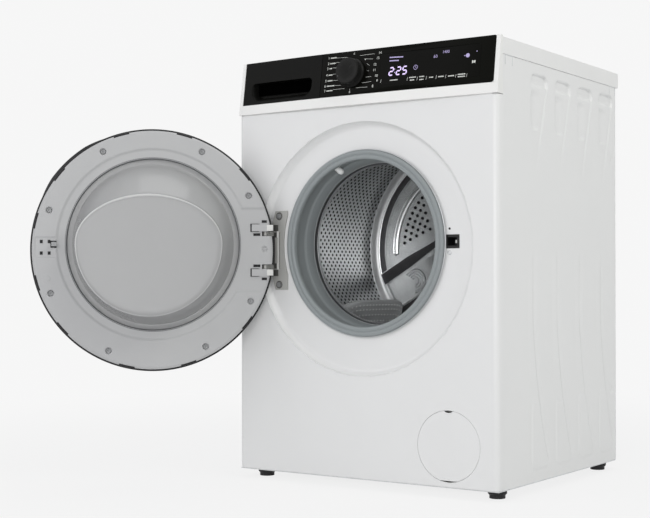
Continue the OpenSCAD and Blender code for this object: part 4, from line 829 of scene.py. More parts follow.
def at_dot(u, v, h):
    """A place about the dot in the knob's face."""
    return on_knob(u + DOT_FROM_AXIS * math.cos(DOT_TURN), v + DOT_FROM_AXIS * math.sin(DOT_TURN), h + KNOB_H + 0.1)


knob_profile = [
    (3.1, 0.8), (KNOB_R - 0.6, 0.8), (KNOB_R, 1.6), (KNOB_R - 0.2, 3.4), (KNOB_R - 0.9, 4.6),
    (KNOB_CAP_R + 1.2, 5.6), (KNOB_CAP_R + 0.4, 7.0), (KNOB_CAP_R, KNOB_H - 1.6), (KNOB_CAP_R - 0.25, KNOB_H - 0.7),
    (KNOB_CAP_R - 0.9, KNOB_H - 0.12), (KNOB_CAP_R - 1.8, KNOB_H), (0.01, KNOB_H), (0.01, KNOB_H - 4.0),
    (3.1, KNOB_H - 4.0)]
add_piece("knob_turning", turned("knob", knob_profile, on_knob, 128), "knob", matt_black,
          ["program_knob"], smooth=40)
dot_profile = [(0.01, 0.0), (1.3, 0.0), (1.5, -0.3), (0.01, -0.3)]
add_piece("knob_pointer", turned("pointer", dot_profile, at_dot, 20), "knob",
          finish("pointer_grey", (0.03, 0.03, 0.03), 0.4, tone=0.05), smooth=40)

# ---- Detergent drawer: a black front with a scooped pull, and a white tray with three compartments.
# The tray runs in a moulded housing under the worktop.
PULL_X0, PULL_X1, PULL_Z0, PULL_Z1, SCOOP = -262.0, -121.0, 777.5, 808.0, 26.0
TRAY_Y, TRAY_LEN, TRAY_H, TRAY_WALL = 8.0, 225.0, 48.0, 2.0
drawer_black = finish("drawer_front_black", (0.0052, 0.0053, 0.0048), 0.42, specular=0.05, grain=1200, tone=0.08,
                      relief=0.02)


def pull_edge(x, z):
    """Signed distance outside the pull's mouth: straight at the top, round at the lower corners."""
    r = 15.0 if z < (PULL_Z0 + PULL_Z1) / 2 else 3.0
    cx, hx = (PULL_X0 + PULL_X1) / 2, (PULL_X1 - PULL_X0) / 2
    dx, dz = abs(x - cx) - hx + r, abs(z - (PULL_Z0 + PULL_Z1) / 2) - (PULL_Z1 - PULL_Z0) / 2 + r
    return math.hypot(max(dx, 0), max(dz, 0)) + min(max(dx, dz), 0) - r


def pull_depth(x, z):
    """How far the drawer's front is scooped in."""
    top = max(0.0, min(1.0, (PULL_Z1 + 1.0 - z) / 6))
    soft = 0.8 + 8.0 * top
    return SCOOP * step(soft, -1.0 - 4.0 * top, pull_edge(x, z)) ** 1.4


drawer_x0, drawer_x1, deepest = -FASCIA_X, SEAM_X - 0.4, 20.0
xs = sorted({round(drawer_x0 + i * (drawer_x1 - drawer_x0) / 120, 3) for i in range(121)})
zs = sorted({round(FASCIA_Z + i * (PANEL_TOP - FASCIA_Z) / 80, 3) for i in range(81)} | {PULL_Z1 - 1.0, PULL_Z1 + 0.9})
rows = [[(x, min(face_y(x, z) + pull_depth(x, z), deepest), z) for x in xs] for z in zs]
front_mesh = face_forward(mesh_of("drawer_front", *strips(rows)))
front_mesh = with_modifiers(front_mesh, wall(2.4, even=False), rounding(0.5, 3, 60))
add_piece("drawer_front", front_mesh, "drawer_body", drawer_black, ["drawer"], smooth=48,
          weighted=True)
# A near-black block at the floor of the pull is painted shade in its deep mouth.
throat = box_mesh("pull_throat", ((PULL_X0 + 3, 15.5, PULL_Z0 + 7), (PULL_X1 - 3, 19.8, PULL_Z1 - 1.5)), bevel=0.3)
add_piece("pull_throat", throat, "drawer_body",
          finish("throat_black", (0.0006, 0.0006, 0.0006), 0.8, specular=0.0, tone=0.1))

tray_x0, tray_x1, tray_z0, tray_y0, tray_y1 = -FASCIA_X + 12, SEAM_X - 13, FASCIA_Z + 6, TRAY_Y + 17, TRAY_Y + TRAY_LEN
compartment = (tray_x1 - tray_x0 - 4 * TRAY_WALL) / 3
walls = [((tray_x0, tray_y0, tray_z0), (tray_x1, tray_y1, tray_z0 + TRAY_WALL))]
for i in range(4):
    x = tray_x0 + i * (compartment + TRAY_WALL)
    walls.append(((x, tray_y0, tray_z0 + 1), (x + TRAY_WALL, tray_y1, tray_z0 + TRAY_H)))
for y in (tray_y0, tray_y1 - TRAY_WALL):
    walls.append(((tray_x0, y, tray_z0 + 1), (tray_x1, y + TRAY_WALL, tray_z0 + TRAY_H)))
for x in (tray_x0, tray_x1 - TRAY_WALL):
    walls.append(((x, 6.0, tray_z0 + 1), (x + TRAY_WALL, tray_y0 + 1, tray_z0 + 22)))
add_piece("drawer_tray", box_mesh("drawer_tray", *walls, bevel=0.5), "drawer_body",
          finish("tray_plastic", (0.62, 0.64, 0.66), 0.35, grain=800, tone=0.02), smooth=40)
moulded_grey = finish("moulded_grey_plastic", (0.55, 0.56, 0.56), 0.45, grain=800, tone=0.03, relief=0.04)
dress(moulded_grey, "drawer_housing")

# ---- Door, made shut and turned open about its hinge: a dark ring with a smoked window in front.
# Behind it are the grey inner frame, clipped and screwed on, and the thick glass bowl.
HINGE_X, HINGE_Y, DOOR_OPEN = 224.0, 10.0, 138.0
DOOR_R, WINDOW_R, FRAME_Y, LAND_Y, LAND_STEP, LAND_HALF = 242.0, 190.0, -3.0, 3.5, 1.9, 84.0
GLASS_T, BOWL_R, BOWL_DEPTH = 5.0, 160.0, 77.0
LUG_V, LUG_HALF, ARM_V = 33.6, 5.0, 45.0
hinge_axis = at_front(-HINGE_X, -HINGE_Y, 0)
swing = (Matrix.Translation(hinge_axis) @ Matrix.Rotation(math.radians(-DOOR_OPEN), 4, "Z")
         @ Matrix.Translation(-hinge_axis))


def on_door(x, y, z):
    """A place on the open door, given where it is on the shut one, in millimetres."""
    return swing @ at_front(x, y, z)


def on_door_round(u, v, h):
    """A place about the middle of the shut door, at a depth, on the open door."""
    return on_door(u, h, DISH_Z + v)


def seen(u, v):
    """Shut-door x and z of a mark on the inner frame: u to the right and v up from the door's centre, as seen open."""
    return -u, DISH_Z + v


def lug_slots(y0, x1):
    """Blocks for the two slots of the hinge lugs, from a depth, and from the rim in to x1."""
    return [((-DOOR_R - 10, y0, DISH_Z + side * LUG_V - LUG_HALF), (x1, 20, DISH_Z + side * LUG_V + LUG_HALF))
            for side in (-1, 1)]


ring_black = finish("door_ring_dark", (0.014, 0.0145, 0.0155), 0.36, specular=0.16, grain=900, tone=0.06)
HANDLE_FROM, HANDLE_TO, HANDLE_OUT = 24.0, 68.0, 3.9
# each slot is open at the rim, where the lug swings through, and closed by the ring's face further in
hinge_cuts = lug_slots(-16.6, -HINGE_X + 7.5)
rim_cuts = lug_slots(-40, -HINGE_X - 3.5)
latch_cut = ((181, -14, 461), (209, -2, 493))
# radius, depth, and the share by which each point moves out for the grip
ring_profile = [
    (WINDOW_R, -3, 0), (WINDOW_R, -6, 0), (WINDOW_R + 12, -6, 0), (WINDOW_R + 12, -19, 0), (WINDOW_R, -19, 0),
    (WINDOW_R, -20.5, 0), (WINDOW_R + 2.5, -21.4, 0), (WINDOW_R + 6, -22, 0), (222, -22, 0), (228.5, -20, 0),
    (233, -17, 0), (236, -14.8, 0.9), (238.6, -12.4, 0.95), (240.3, -9.2, 1), (241.4, -6.6, 0.9), (242, -5, 0.3),
    (242, -3.5, 0), (241.5, -3, 0)]
rows = []
for i in range(360):
    a = math.radians(i)
    t = (i - HANDLE_FROM) / (HANDLE_TO - HANDLE_FROM)
    grip = min(1.0, 1.3 * math.sin(math.pi * t) ** 0.8) if 0 < t < 1 else 0.0
    row = []
    for r, y, share in ring_profile:
        r += (DOOR_R + HANDLE_OUT - r) * share * grip
        row.append((r * math.cos(a), y, DISH_Z + r * math.sin(a)))
    rows.append(row + [row[0]])
rows.append(rows[0])
ring_mesh = cut_blocks(mesh_of("door_ring", *strips(rows)), *hinge_cuts, latch_cut)
ring_mesh = cut_blocks(ring_mesh, *rim_cuts)
ring_mesh.transform(swing)
add_piece("door_ring", ring_mesh, "door", ring_black, ["door_outer_frame"], smooth=40, weighted=True)
dome_profile = [
    (0.01, -22.9), (40, -22.88), (80, -22.8), (120, -22.6), (150, -22.25), (170, -21.8), (182, -21.2),
    (WINDOW_R - 0.3, -20.6), (WINDOW_R - 0.3, -19.6), (0.01, -19.6)]
smoked_window = finish("smoked_window", (0.010, 0.010, 0.012), 0.08, specular=0.5, grain=500, tone=0.1, relief=0.003)
add_piece("door_window_dome", turned("door_window_dome", dome_profile, on_door_round, 160, False), "door",
          smoked_window, ["door_window"], smooth=30)
frame_grey = finish("door_frame_grey", (0.455, 0.458, 0.462), 0.42, specular=0.4, grain=1100, tone=0.012, relief=0.04)
mask_grey = finish("window_mask_grey", (0.62, 0.622, 0.625), 0.6, grain=600, tone=0.02)
mask_profile = [(0.01, -19.4), (186, -19.4), (186, -18.9), (0.01, -18.9)]
add_piece("window_mask", turned("window_mask", mask_profile, on_door_round, 160), "door", mask_grey)
liner_rows = [ring(0, PORT_Z, 178.0, -8.6, 160), ring(0, DISH_Z, 186.0, -18.8, 160)]
liner = mesh_of("window_liner", *strips(liner_rows, closed=True), on_door)
add_piece("window_liner", sheet_metal(liner, 0.6, 0.0), "door", mask_grey)

LATCH_U, LATCH_V = 212.0, 5.0
SCREW_ANGLES, SCREW_RING = (117, 64, 30, -28, -62, -114, 159, 203), 219.0
screw_places = [seen(SCREW_RING * math.cos(a), SCREW_RING * math.sin(a)) for a in map(math.radians, SCREW_ANGLES)]
BUTTON_U, BUTTON_V, DOT_U, DOT_V = 222.0, 2.0, -208.0, -57.0
LATCH_HALF, SEAT_DEEP = 20.0, 2.1


def frame_height(x, z):
    """Depth of the inner frame's face behind the front panel's face."""
    u, v = -x, z - DISH_Z
    glass_r = math.hypot(x, z - PORT_Z)
    land = step(193.0, 187.0, glass_r)
    if u > 0:
        land = max(land, step(LAND_HALF + 2.5, LAND_HALF - 2.5, abs(v)) * step(150, 154, u))
    y = LAND_Y + LAND_STEP * (1 - land)
    y -= LAND_STEP * 0.9 * step(DOOR_R - 8, DOOR_R - 4.5, math.hypot(x, z - DISH_Z))
    for sx, sz in screw_places:
        d = math.hypot(x - sx, z - sz)
        if d < 8:
            y = min(y, LAND_Y - SEAT_DEEP + 4.4 * step(5.4, 6.8, d))
    across, up = abs(u + LATCH_U), abs(v - LATCH_V)
    if max(across, up) < LATCH_HALF + 3:
        y -= 1.1 * step(LATCH_HALF + 1, LATCH_HALF - 1, across) * step(LATCH_HALF + 1, LATCH_HALF - 1, up)
    d = math.hypot(u - BUTTON_U, v - BUTTON_V)
    y -= 2.6 * step(6.5, 4.6, d) * step(1.6, 3.4, d)
    d = math.hypot(u - DOT_U, v - DOT_V)
    return y + 0.5 * step(6.5, 4.5, d)


STEPS_ROUND, STEPS_OUT, FRAME_IN, FRAME_OUT = 900, 44, 172, 238
rows = []
for j in range(STEPS_OUT + 1):
    t = j / STEPS_OUT
    row = []
    for i in range(STEPS_ROUND):
        a = 2 * math.pi * i / STEPS_ROUND
        c, s = math.cos(a), math.sin(a)
        x0, z0 = FRAME_IN * c, PORT_Z + FRAME_IN * s
        x1, z1 = FRAME_OUT * c, DISH_Z + FRAME_OUT * s
        x, z = x0 + (x1 - x0) * t, z0 + (z1 - z0) * t
        row.append((x, frame_height(x, z), z))
    rows.append(row)
rows = [[(x, FRAME_Y, z) for x, y, z in rows[0]], [(x, y - 1.2, z) for x, y, z in rows[0]]] + rows
rows += [[(x, y - 1.0, z) for x, y, z in rows[-1]], [(x, FRAME_Y, z) for x, y, z in rows[-1]]]
rows.append(rows[0])
inner_mesh = mesh_of("door_inner_frame", *strips(rows, closed=True))
inner_mesh = cut_blocks(inner_mesh, *hinge_cuts, ((190, -50, 470), (202, 50, 484)))
inner_mesh.transform(swing)
add_piece("door_inner_moulding", inner_mesh, "door", frame_grey, ["door_inner_frame"], smooth=45)

# Near-black painted shade for the door's slots, the gaps along the hinge arms and the hole by the lock; the rim clips
# are made in it too.
shadow_black = finish("deep_slot_black", (0.02, 0.02, 0.021), 0.6, specular=0.2, grain=900, tone=0.1)
points, faces = [], []


def door_mark(u, v, w, h, rise):
    """Painted shade for a small opening in the inner frame: a dark thin plate in its face."""
    base = len(points)
    for du, dv in ((-w / 2, -h / 2), (w / 2, -h / 2), (w / 2, h / 2), (-w / 2, h / 2)):
        x, z = seen(u + du, v + dv)
        points.append((x, frame_height(x, z) + rise, z))
    faces.append((base, base + 1, base + 2, base + 3))


# painted shade in the slots beside the hinge arms, in the windows round the latch, and on the arms' seats
for u, v, w in ((221, 57.8, 10.5), (206, 31.4, 14), (206, -31.4, 14), (221, -57.8, 10.5)):
    door_mark(u, v, w, 5.2, 0.3)
for du in (-7.6, 7.6):
    for dv in (-11.4, 11.4):
        door_mark(-LATCH_U + du, LATCH_V + dv, 5.6, 6.6, 0.35)
for v in (-ARM_V, ARM_V):
    door_mark(201, v, 16, 16.4, 0.25)
slots_mesh = sheet_metal(mesh_of("door_slots", points, faces, on_door), 0.4, 0.0)
add_piece("door_slots", slots_mesh, "door", shadow_black, smooth=40)

CLIP_ANGLES, CLIP_SPAN = (105.5, 75, 40, -38, -73, -103, 221, 196, 166, 141), 7.6
clip_section = ((235.2, LAND_Y - 0.6), (235.4, 4.9), (238.6, 4.3), (239.6, 2.0), (239.6, -1.0), (235.2, -1.0))
points, faces = [], []
for angle in CLIP_ANGLES:
    rows = []
    for i in range(9):
        a = math.radians(angle + (i - 4) * CLIP_SPAN / 8)
        row = []
        for r, y in clip_section:
            x, z = seen(r * math.cos(a), r * math.sin(a))
            row.append((x, y, z))
        rows.append(row + [row[0]])
    new_points, new_faces = strips(rows)
    new_faces += [tuple(range(6)), tuple(8 * 7 + k for k in range(5, -1, -1))]
    add_part(points, faces, new_points, new_faces)
add_piece("door_rim_clips", mesh_of("door_rim_clips", points, faces, on_door), "door", shadow_black,
          smooth=40)

clear_grey = finish("door_glass_grey", (0.50, 0.503, 0.505), 0.16, specular=0.4, grain=300, tone=0.01, relief=0.002,
                    alpha=0.62)
CROWN_RISE, BOWL_FOOT, CROWN_SHIFT, SHOULDER, BOWL_COUNT = 94.0, 140.5, 8.5, 5.0, 240
bowl_turns = [2 * math.pi * i / BOWL_COUNT for i in range(BOWL_COUNT)]


def crown_radius(a):
    """How far the bowl's flat crown reaches from its centre in a direction: round below, and flattened above."""
    if math.sin(a) <= 0:
        return BOWL_FOOT
    return 1 / math.sqrt((math.cos(a) / BOWL_FOOT) ** 2 + (math.sin(a) / CROWN_RISE) ** 2)


def bowl_row(radius, y, shift):
    """One row round the bowl: its radius in each direction, its height over the mouth, and its shift to the side."""
    return [(radius(a) * math.cos(a) + shift, FRAME_Y + y, PORT_Z + radius(a) * math.sin(a)) for a in bowl_turns]


def bowl_rows(shrink):
    """Rows of the bowl from its mouth to the middle of its crown, drawn in by the glass thickness."""
    rows = []
    depth = BOWL_DEPTH - shrink
    for k in range(13):
        t = k / 12
        rows.append(bowl_row(lambda a: BOWL_R - shrink + (crown_radius(a) + 2.5 - BOWL_R) * t, (depth - SHOULDER) * t,
                             CROWN_SHIFT * t))
    for k in range(1, 7):
        b = math.pi / 2 * k / 6
        rows.append(bowl_row(lambda a: crown_radius(a) + 2.5 - shrink - 7.0 * (1 - math.cos(b)),
                             depth - SHOULDER + SHOULDER * math.sin(b), CROWN_SHIFT))
    for k in range(1, 25):
        t = 1 - k / 24
        rows.append(bowl_row(lambda a: max(0.001, (crown_radius(a) - 4.5 - shrink) * t), depth, CROWN_SHIFT))
    return rows


outer, inner = bowl_rows(0.0), bowl_rows(GLASS_T)
flange = [ring(0, PORT_Z, r, y, BOWL_COUNT) for r, y in (
    (BOWL_R + 1.5, FRAME_Y + 0.02), (177.5, FRAME_Y - 0.05), (179, FRAME_Y - 1.2), (179, FRAME_Y - GLASS_T + 1),
    (178, FRAME_Y - GLASS_T), (BOWL_R - GLASS_T + 1, FRAME_Y - GLASS_T))]
bowl = mesh_of("door_glass", *strips(outer[::-1] + flange + inner, closed=True), on_door)
add_piece("door_glass_bowl", bowl, "door", clear_grey, ["door_glass"], smooth=60)
# A painted highlight: a thin pale tube, partly clear, along the crown's rounded edge, thicker on one side.
HIGHLIGHT_THIN, HIGHLIGHT_THICK, HIGHLIGHT_TURN = 0.6, 2.3, math.radians(72)
rows = []
for a in bowl_turns:
    thick = HIGHLIGHT_THIN + HIGHLIGHT_THICK * (0.5 + 0.5 * math.cos(a - HIGHLIGHT_TURN)) ** 2
    r = crown_radius(a) + 0.3
    row = []
    for b in (2 * math.pi * k / 8 for k in range(8)):
        out = r + thick * math.cos(b)
        row.append((out * math.cos(a) + CROWN_SHIFT, FRAME_Y + BOWL_DEPTH - 1.9 + thick * math.sin(b),
                    PORT_Z + out * math.sin(a)))
    rows.append(row)
rows.append(rows[0])
add_piece("crown_edge", mesh_of("crown_edge", *strips(rows, closed=True), on_door), "door",
          finish("polished_edge", (0.80, 0.80, 0.80), 0.2, specular=0.8, tone=0.01, alpha=0.55), smooth=70)
seal_grey = finish("glass_seal_dark", (0.17, 0.175, 0.18), 0.55, grain=900, tone=0.05)
seal_profile = [
    (170.4, FRAME_Y + 0.1), (172.3, FRAME_Y + 0.4), (174.0, LAND_Y + 0.1), (172.6, LAND_Y + 0.1),
    (171.2, FRAME_Y + 2.2), (169.8, FRAME_Y + 1.0)]
add_piece("glass_seal", turned("glass_seal", seal_profile, lambda u, v, h: on_door(u, h, PORT_Z + v), 200), "door",
          seal_grey)

screw_steel = finish("screw_steel", (0.55, 0.56, 0.57), 0.35, metallic=0.8, grain=700, tone=0.08)
screw_grey = finish("door_screw_grey", (0.26, 0.265, 0.27), 0.45, metallic=0.3, grain=700, tone=0.08)
head = [(0.001, -0.9), (1.4, -0.9), (1.9, 0.5), (4.2, 0.9), (4.8, 0.3), (4.8, -1.5), (0.001, -1.5)]
for k, (sx, sz) in enumerate(screw_places):
    screw = turned("door_screw", head, lambda u, v, h: on_door(sx + u, LAND_Y - 0.3 + h, sz + v), 28)
    add_piece("door_screw_%d" % (k + 1), screw, "door", screw_grey, ["door_screws"] if k == 0 else [],
              smooth=40)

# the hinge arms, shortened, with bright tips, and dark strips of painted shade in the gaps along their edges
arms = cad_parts["hinge_arms"].data.copy()
arms.transform(swing.inverted())
for vertex in arms.vertices:
    vertex.co.x = min(vertex.co.x, -0.1955)
arms.transform(swing)
add_piece("hinge_arm_plates", arms, "door", frame_grey, ["hinge_arms"], smooth=40)


def arm_blocks(spans, y0, y1, half, offsets=(0,)):
    """Blocks on both hinge arms, over spans along them and at offsets up and down from their middle."""
    return [((x0, y0, DISH_Z + v + w - half), (x1, y1, DISH_Z + v + w + half))
            for v in (-ARM_V, ARM_V) for w in offsets for x0, x1 in spans]


tips = box_mesh("hinge_arm_tips", *arm_blocks(((-238.6, -214.5),), 3.6, 5.95, 6.2), bevel=0.4)
tips.transform(swing)
bright_zinc = finish("bright_zinc", (0.70, 0.70, 0.68), 0.5, metallic=0.1, grain=500, tone=0.06)
add_piece("hinge_arm_tips", tips, "door", bright_zinc)
edges = box_mesh("hinge_arm_edges", *arm_blocks(((-239, -231), (-211, -193.5)), 4.4, 5.7, 0.6, (-7.3, 7.3)),
                 *arm_blocks(((-214.2, -212),), 5.2, 5.8, 7), bevel=0)
edges.transform(swing)
add_piece("hinge_arm_edges", edges, "door", shadow_black)
eased("latch_hook", "hook", screw_grey, 0.3)

# ---- Hinge plate, pins and door lock on the front panel.
# The plate is die-cast and takes two screws; the lock sits behind the panel with its mouth showing.
cast_plate = finish("hinge_plate_cast", (0.46, 0.46, 0.44), 0.45, metallic=0.3, grain=700, tone=0.07, relief=0.06)
PLATE_SCREW_X, PLATE_SCREW_V = -205.0, 69.5
LOCK_SCREW_X, LOCK_SCREW_Z, LOCK_HOLE_Z = 190.0, 456.0, 501.0


def round_port(u, v, h):
    """A place about the porthole's axis, at a depth."""
    return at_front(u, h, PORT_Z + v)


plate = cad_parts["hinge_plate"].data.copy()
plate = cut_with(plate, turned("cutter", [(100, 5), (194, 5), (194, 20), (100, 20)], round_port, 200))
plate = cut_blocks(plate, ((-184.5, 5, 380), (-160, 20, 550)))
plate = with_modifiers(plate, rounding(0.9, 3, 32))
add_piece("hinge_plate_casting", plate, "cabinet", cast_plate, ["hinge_plate"], smooth=48,
          weighted=True)
bar = box_mesh("hinge_bar", ((-209, 8.4, DISH_Z - 39), (-205.6, 12.5, DISH_Z + 39)), bevel=0.7)
add_piece("hinge_bar", bar, "cabinet", bright_zinc, smooth=40)
# Dark blocks beside the hinge bar and behind the arms' ends are painted shadow in the gaps.
shade = box_mesh("hinge_recess", ((-220.5, 11.2, DISH_Z - 37), (-210.5, 12.4, DISH_Z + 37)),
                 ((-204.6, 11.6, DISH_Z - 38), (-203.2, 12.4, DISH_Z + 38)),
                 *(((-217, 8.4, DISH_Z + v - 6.5), (-207.5, 12.4, DISH_Z + v + 6.5)) for v in (-45.5, 45.5)), bevel=0.5)
add_piece("hinge_recess", shade, "cabinet",
          finish("hinge_shadow", (0.075, 0.075, 0.07), 0.6, specular=0.2, tone=0.1), smooth=40)
# Each screw seat is a dark ring: painted shade in the hollow round the screw.
seat_profile = [(5.0, 12.2), (5.0, 11.2), (6.4, 11.0), (7.6, 11.4), (8.2, 12.2)]
for side, which in ((-1, "low"), (1, "high")):
    seat = turned("seat", seat_profile,
                  lambda u, v, h: at_front(PLATE_SCREW_X + u, h, DISH_Z + side * PLATE_SCREW_V + v), 40)
    add_piece("hinge_screw_seat_" + which, seat, "cabinet",
              finish("seat_dark_%d" % side, (0.10, 0.10, 0.095), 0.5, tone=0.1), smooth=40)
dress(screw_steel, "hinge_pins", "cabinet_screws")


def beside_lock(name, z, profile, count, material, smooth):
    """A small turned piece on the floor of the recess, above or below the lock's slot."""
    mesh = turned(name, profile, lambda u, v, h: at_front(LOCK_SCREW_X + u, DISH_DEPTH - h, z + v), count)
    add_piece(name, mesh, "cabinet", material, smooth=smooth)


beside_lock("lock_screw", LOCK_SCREW_Z, [(0.001, 0.5), (1.2, 1.0), (2.6, 1.3), (4.0, 0.8), (4.2, 0.0), (0.001, 0.0)],
            32, screw_steel, 60)
cam = box_mesh("lock_cam", ((196.5, 25.0, 474), (203, 27.0, 480)), bevel=0.5)
add_piece("lock_cam", cam, "cabinet", bright_zinc)
# A dark disc above the lock's slot is painted shade in a hole.
beside_lock("lock_hole", LOCK_HOLE_Z, [(0.001, 0.15), (2.3, 0.15), (2.3, -0.2), (0.001, -0.2)], 24,
            shadow_black, 40)
dress(finish("lock_black", (0.012, 0.012, 0.012), 0.4, specular=0.3, tone=0.1), "door_lock")

# ---- Gasket: grey rubber between the front panel and the tub, held by a wire in its groove.
# A white nozzle comes through its top and sprays into the drum.
rubber = finish("gasket_rubber", (0.272, 0.296, 0.302), 0.5, specular=0.35, grain=700, tone=0.03, relief=0.05)
GASKET_R, GASKET_IN, NECK_R, NECK_Y = 181.5, 163.0, 172.0, 58.0
gasket_profile = [
    # the bead over the panel's rim, and the groove of its clamp wire
    (GASKET_R, 15.0), (GASKET_R, 8.6), (GASKET_R - 0.7, 6.6), (GASKET_R - 2.4, 5.4), (GASKET_R - 5.0, 5.0),
    (GASKET_R - 7.4, 5.5), (GASKET_R - 8.4, 6.6), (GASKET_R - 9.2, 6.9), (GASKET_R - 10.2, 6.2), (GASKET_R - 12, 5.2),
    # the throat, with its folds
    (GASKET_IN + 3.6, 5.0), (GASKET_IN + 1.2, 6.0), (GASKET_IN, 8.0), (GASKET_IN, 16.0), (GASKET_IN + 1.6, 19.5),
    (GASKET_IN + 4.6, 22), (GASKET_IN + 5.6, 27), (GASKET_IN + 5.8, 36), (GASKET_IN + 5.8, 46),
    (GASKET_IN + 5.2, 49.5), (GASKET_IN + 3.6, 51.4), (GASKET_IN + 2.6, 53), (GASKET_IN - 1.6, 72.6),
    (GASKET_IN - 1.4, 74.6), (GASKET_IN + 0.4, 75.2), (GASKET_IN + 4, 70),
    # the neck on the tub, and the back of the bead
    (NECK_R - 0.9, 69.6), (NECK_R - 0.4, 68), (NECK_R - 0.4, NECK_Y - 0.4), (NECK_R + 4.4, NECK_Y - 0.4),
    (NECK_R + 4.4, NECK_Y + 13), (NECK_R + 7, NECK_Y + 13), (NECK_R + 7, NECK_Y - 3), (PORT_R - 1, 39),
    (PORT_R - 3, 33), (PORT_R - 3, 25), (PORT_R - 0.4, 23), (PORT_R - 0.4, 15)]
add_piece("gasket_rubber", turned("gasket", gasket_profile, round_port, 224), "cabinet", rubber,
          ["gasket"], smooth=40, bends=(at_front(0, 24, PORT_Z), at_front(0, NECK_Y - 2, PORT_Z)))
lip_profile = [(GASKET_IN - 1.0, 72.2), (GASKET_IN - 2.1, 72.6), (GASKET_IN - 2.2, 74.2), (GASKET_IN - 1.2, 75.2),
               (GASKET_IN - 0.6, 74.4)]
add_piece("gasket_lip_edge", turned("gasket_lip_edge", lip_profile, round_port, 200), "tub",
          finish("gasket_lip", (0.46, 0.48, 0.485), 0.5, grain=700, tone=0.03), smooth=50)
dress(screw_steel, "gasket_clamp")
nozzle_white = finish("nozzle_white", (0.80, 0.81, 0.80), 0.35, grain=900, tone=0.02)
NOZZLE_TURN, NOZZLE_LEAN = math.radians(90 + 27), 0.03
tip_turn = NOZZLE_TURN - NOZZLE_LEAN
nozzle_root = round_port(174 * math.cos(NOZZLE_TURN), 174 * math.sin(NOZZLE_TURN), 28)
nozzle_tip = round_port(155 * math.cos(tip_turn), 155 * math.sin(tip_turn), 40)
along_nozzle = (nozzle_tip - nozzle_root).to_track_quat("Z", "Y")
nozzle_shape = [(0.001, -8), (6.2, -8), (6.2, 15.5), (5.6, 18.4), (4.2, 20.8), (2.0, 22.2), (0.001, 22.4)]
spout = turned("spout", nozzle_shape, lambda u, v, h: nozzle_root + along_nozzle @ Vector((u * mm, v * mm, h * mm)), 32)
add_piece("spray_nozzle_spout", spout, "cabinet", nozzle_white, ["spray_nozzle"], smooth=50)

# ---- Drum: stainless steel, rolled and perforated, with a pressed rear disc and three lifters.
# The holes are punched outward in staggered rows, with a pressed dot between them.
DRUM_R, MOUTH_R, DRUM_FRONT, DRUM_BACK, WALL_Y = 242.0, 157.0, 80.0, 425.0, 92.0
stainless = finish("stainless_drum", (0.60, 0.615, 0.62), 0.36, metallic=0.92, grain=420, tone=0.05, relief=0.03,
                   cloud=20)
hole_dark = finish("hole_dark", (0.012, 0.012, 0.013), 0.6, specular=0.2, tone=0.1)
shell_profile = [
    # outside, from the rolled mouth over the shoulder to the rear
    (MOUTH_R, DRUM_FRONT + 0.2), (MOUTH_R + 1.5, DRUM_FRONT - 0.9), (MOUTH_R + 4, DRUM_FRONT - 0.6),
    (DRUM_R - 17, WALL_Y - 4), (DRUM_R - 8, WALL_Y), (DRUM_R - 1.5, WALL_Y + 8), (DRUM_R + 0.8, WALL_Y + 18),
    (DRUM_R + 0.8, DRUM_BACK),
    # inside, back to the mouth
    (DRUM_R - 0.1, DRUM_BACK), (DRUM_R - 0.1, WALL_Y + 18), (DRUM_R - 2.6, WALL_Y + 9), (DRUM_R - 9, WALL_Y + 1.5),
    (DRUM_R - 17.5, WALL_Y - 3), (MOUTH_R + 4.5, DRUM_FRONT + 0.6), (MOUTH_R + 3, DRUM_FRONT + 2.5),
    (MOUTH_R + 3, DRUM_FRONT + 7.5), (MOUTH_R + 0.6, DRUM_FRONT + 7.5), (MOUTH_R, DRUM_FRONT + 6)]
add_piece("drum_wall", turned("drum_wall", shell_profile, round_port, 240), "drum", stainless,
          ["drum_shell"], smooth=40)
lip_steel = finish("lip_steel", (0.20, 0.205, 0.21), 0.4, metallic=0.8, grain=500, tone=0.06)
drum_lip = [(MOUTH_R - 0.5, DRUM_FRONT + 1.2), (MOUTH_R + 1.2, DRUM_FRONT - 1.5), (MOUTH_R + 4.4, DRUM_FRONT - 1.2),
            (MOUTH_R + 4.6, DRUM_FRONT - 0.4), (MOUTH_R + 0.2, DRUM_FRONT + 1.4)]
add_piece("drum_lip", turned("drum_lip", drum_lip, round_port, 200), "drum", lip_steel, smooth=50)


def node_tree(name, sizes):
    """A Geometry Nodes tree with named inputs: the tree, the outputs of its input node, and its output node."""
    tree = bpy.data.node_groups.new(name, "GeometryNodeTree")
    tree.interface.new_socket("Geometry", in_out="INPUT", socket_type="NodeSocketGeometry")
    for label, kind in sizes.items():
        tree.interface.new_socket(label, in_out="INPUT", socket_type="NodeSocket" + kind)
    tree.interface.new_socket("Geometry", in_out="OUTPUT", socket_type="NodeSocketGeometry")
    return tree, tree.nodes.new("NodeGroupInput").outputs, tree.nodes.new("NodeGroupOutput")


def copy_pattern(tree, given, target, places, facing):
    """Ends a tree: a copy of its pattern at each place, turned to face a way, all as one mesh in its material."""
    turn_to = tree.nodes.new("FunctionNodeAlignRotationToVector")
    turn_to.axis = "Z"
    pattern = tree.nodes.new("GeometryNodeObjectInfo")
    instances = tree.nodes.new("GeometryNodeInstanceOnPoints")
    realised = tree.nodes.new("GeometryNodeRealizeInstances")
    coat = tree.nodes.new("GeometryNodeSetMaterial")
    for output, socket in (
            (facing, turn_to.inputs["Vector"]), (given["Pattern"], pattern.inputs["Object"]),
            (places, instances.inputs["Points"]), (pattern.outputs["Geometry"], instances.inputs["Instance"]),
            (turn_to.outputs[0], instances.inputs["Rotation"]), (instances.outputs[0], realised.inputs[0]),
            (realised.outputs[0], coat.inputs["Geometry"]), (given["Material"], coat.inputs["Material"]),
            (coat.outputs[0], target.inputs[0])):
        tree.links.new(output, socket)


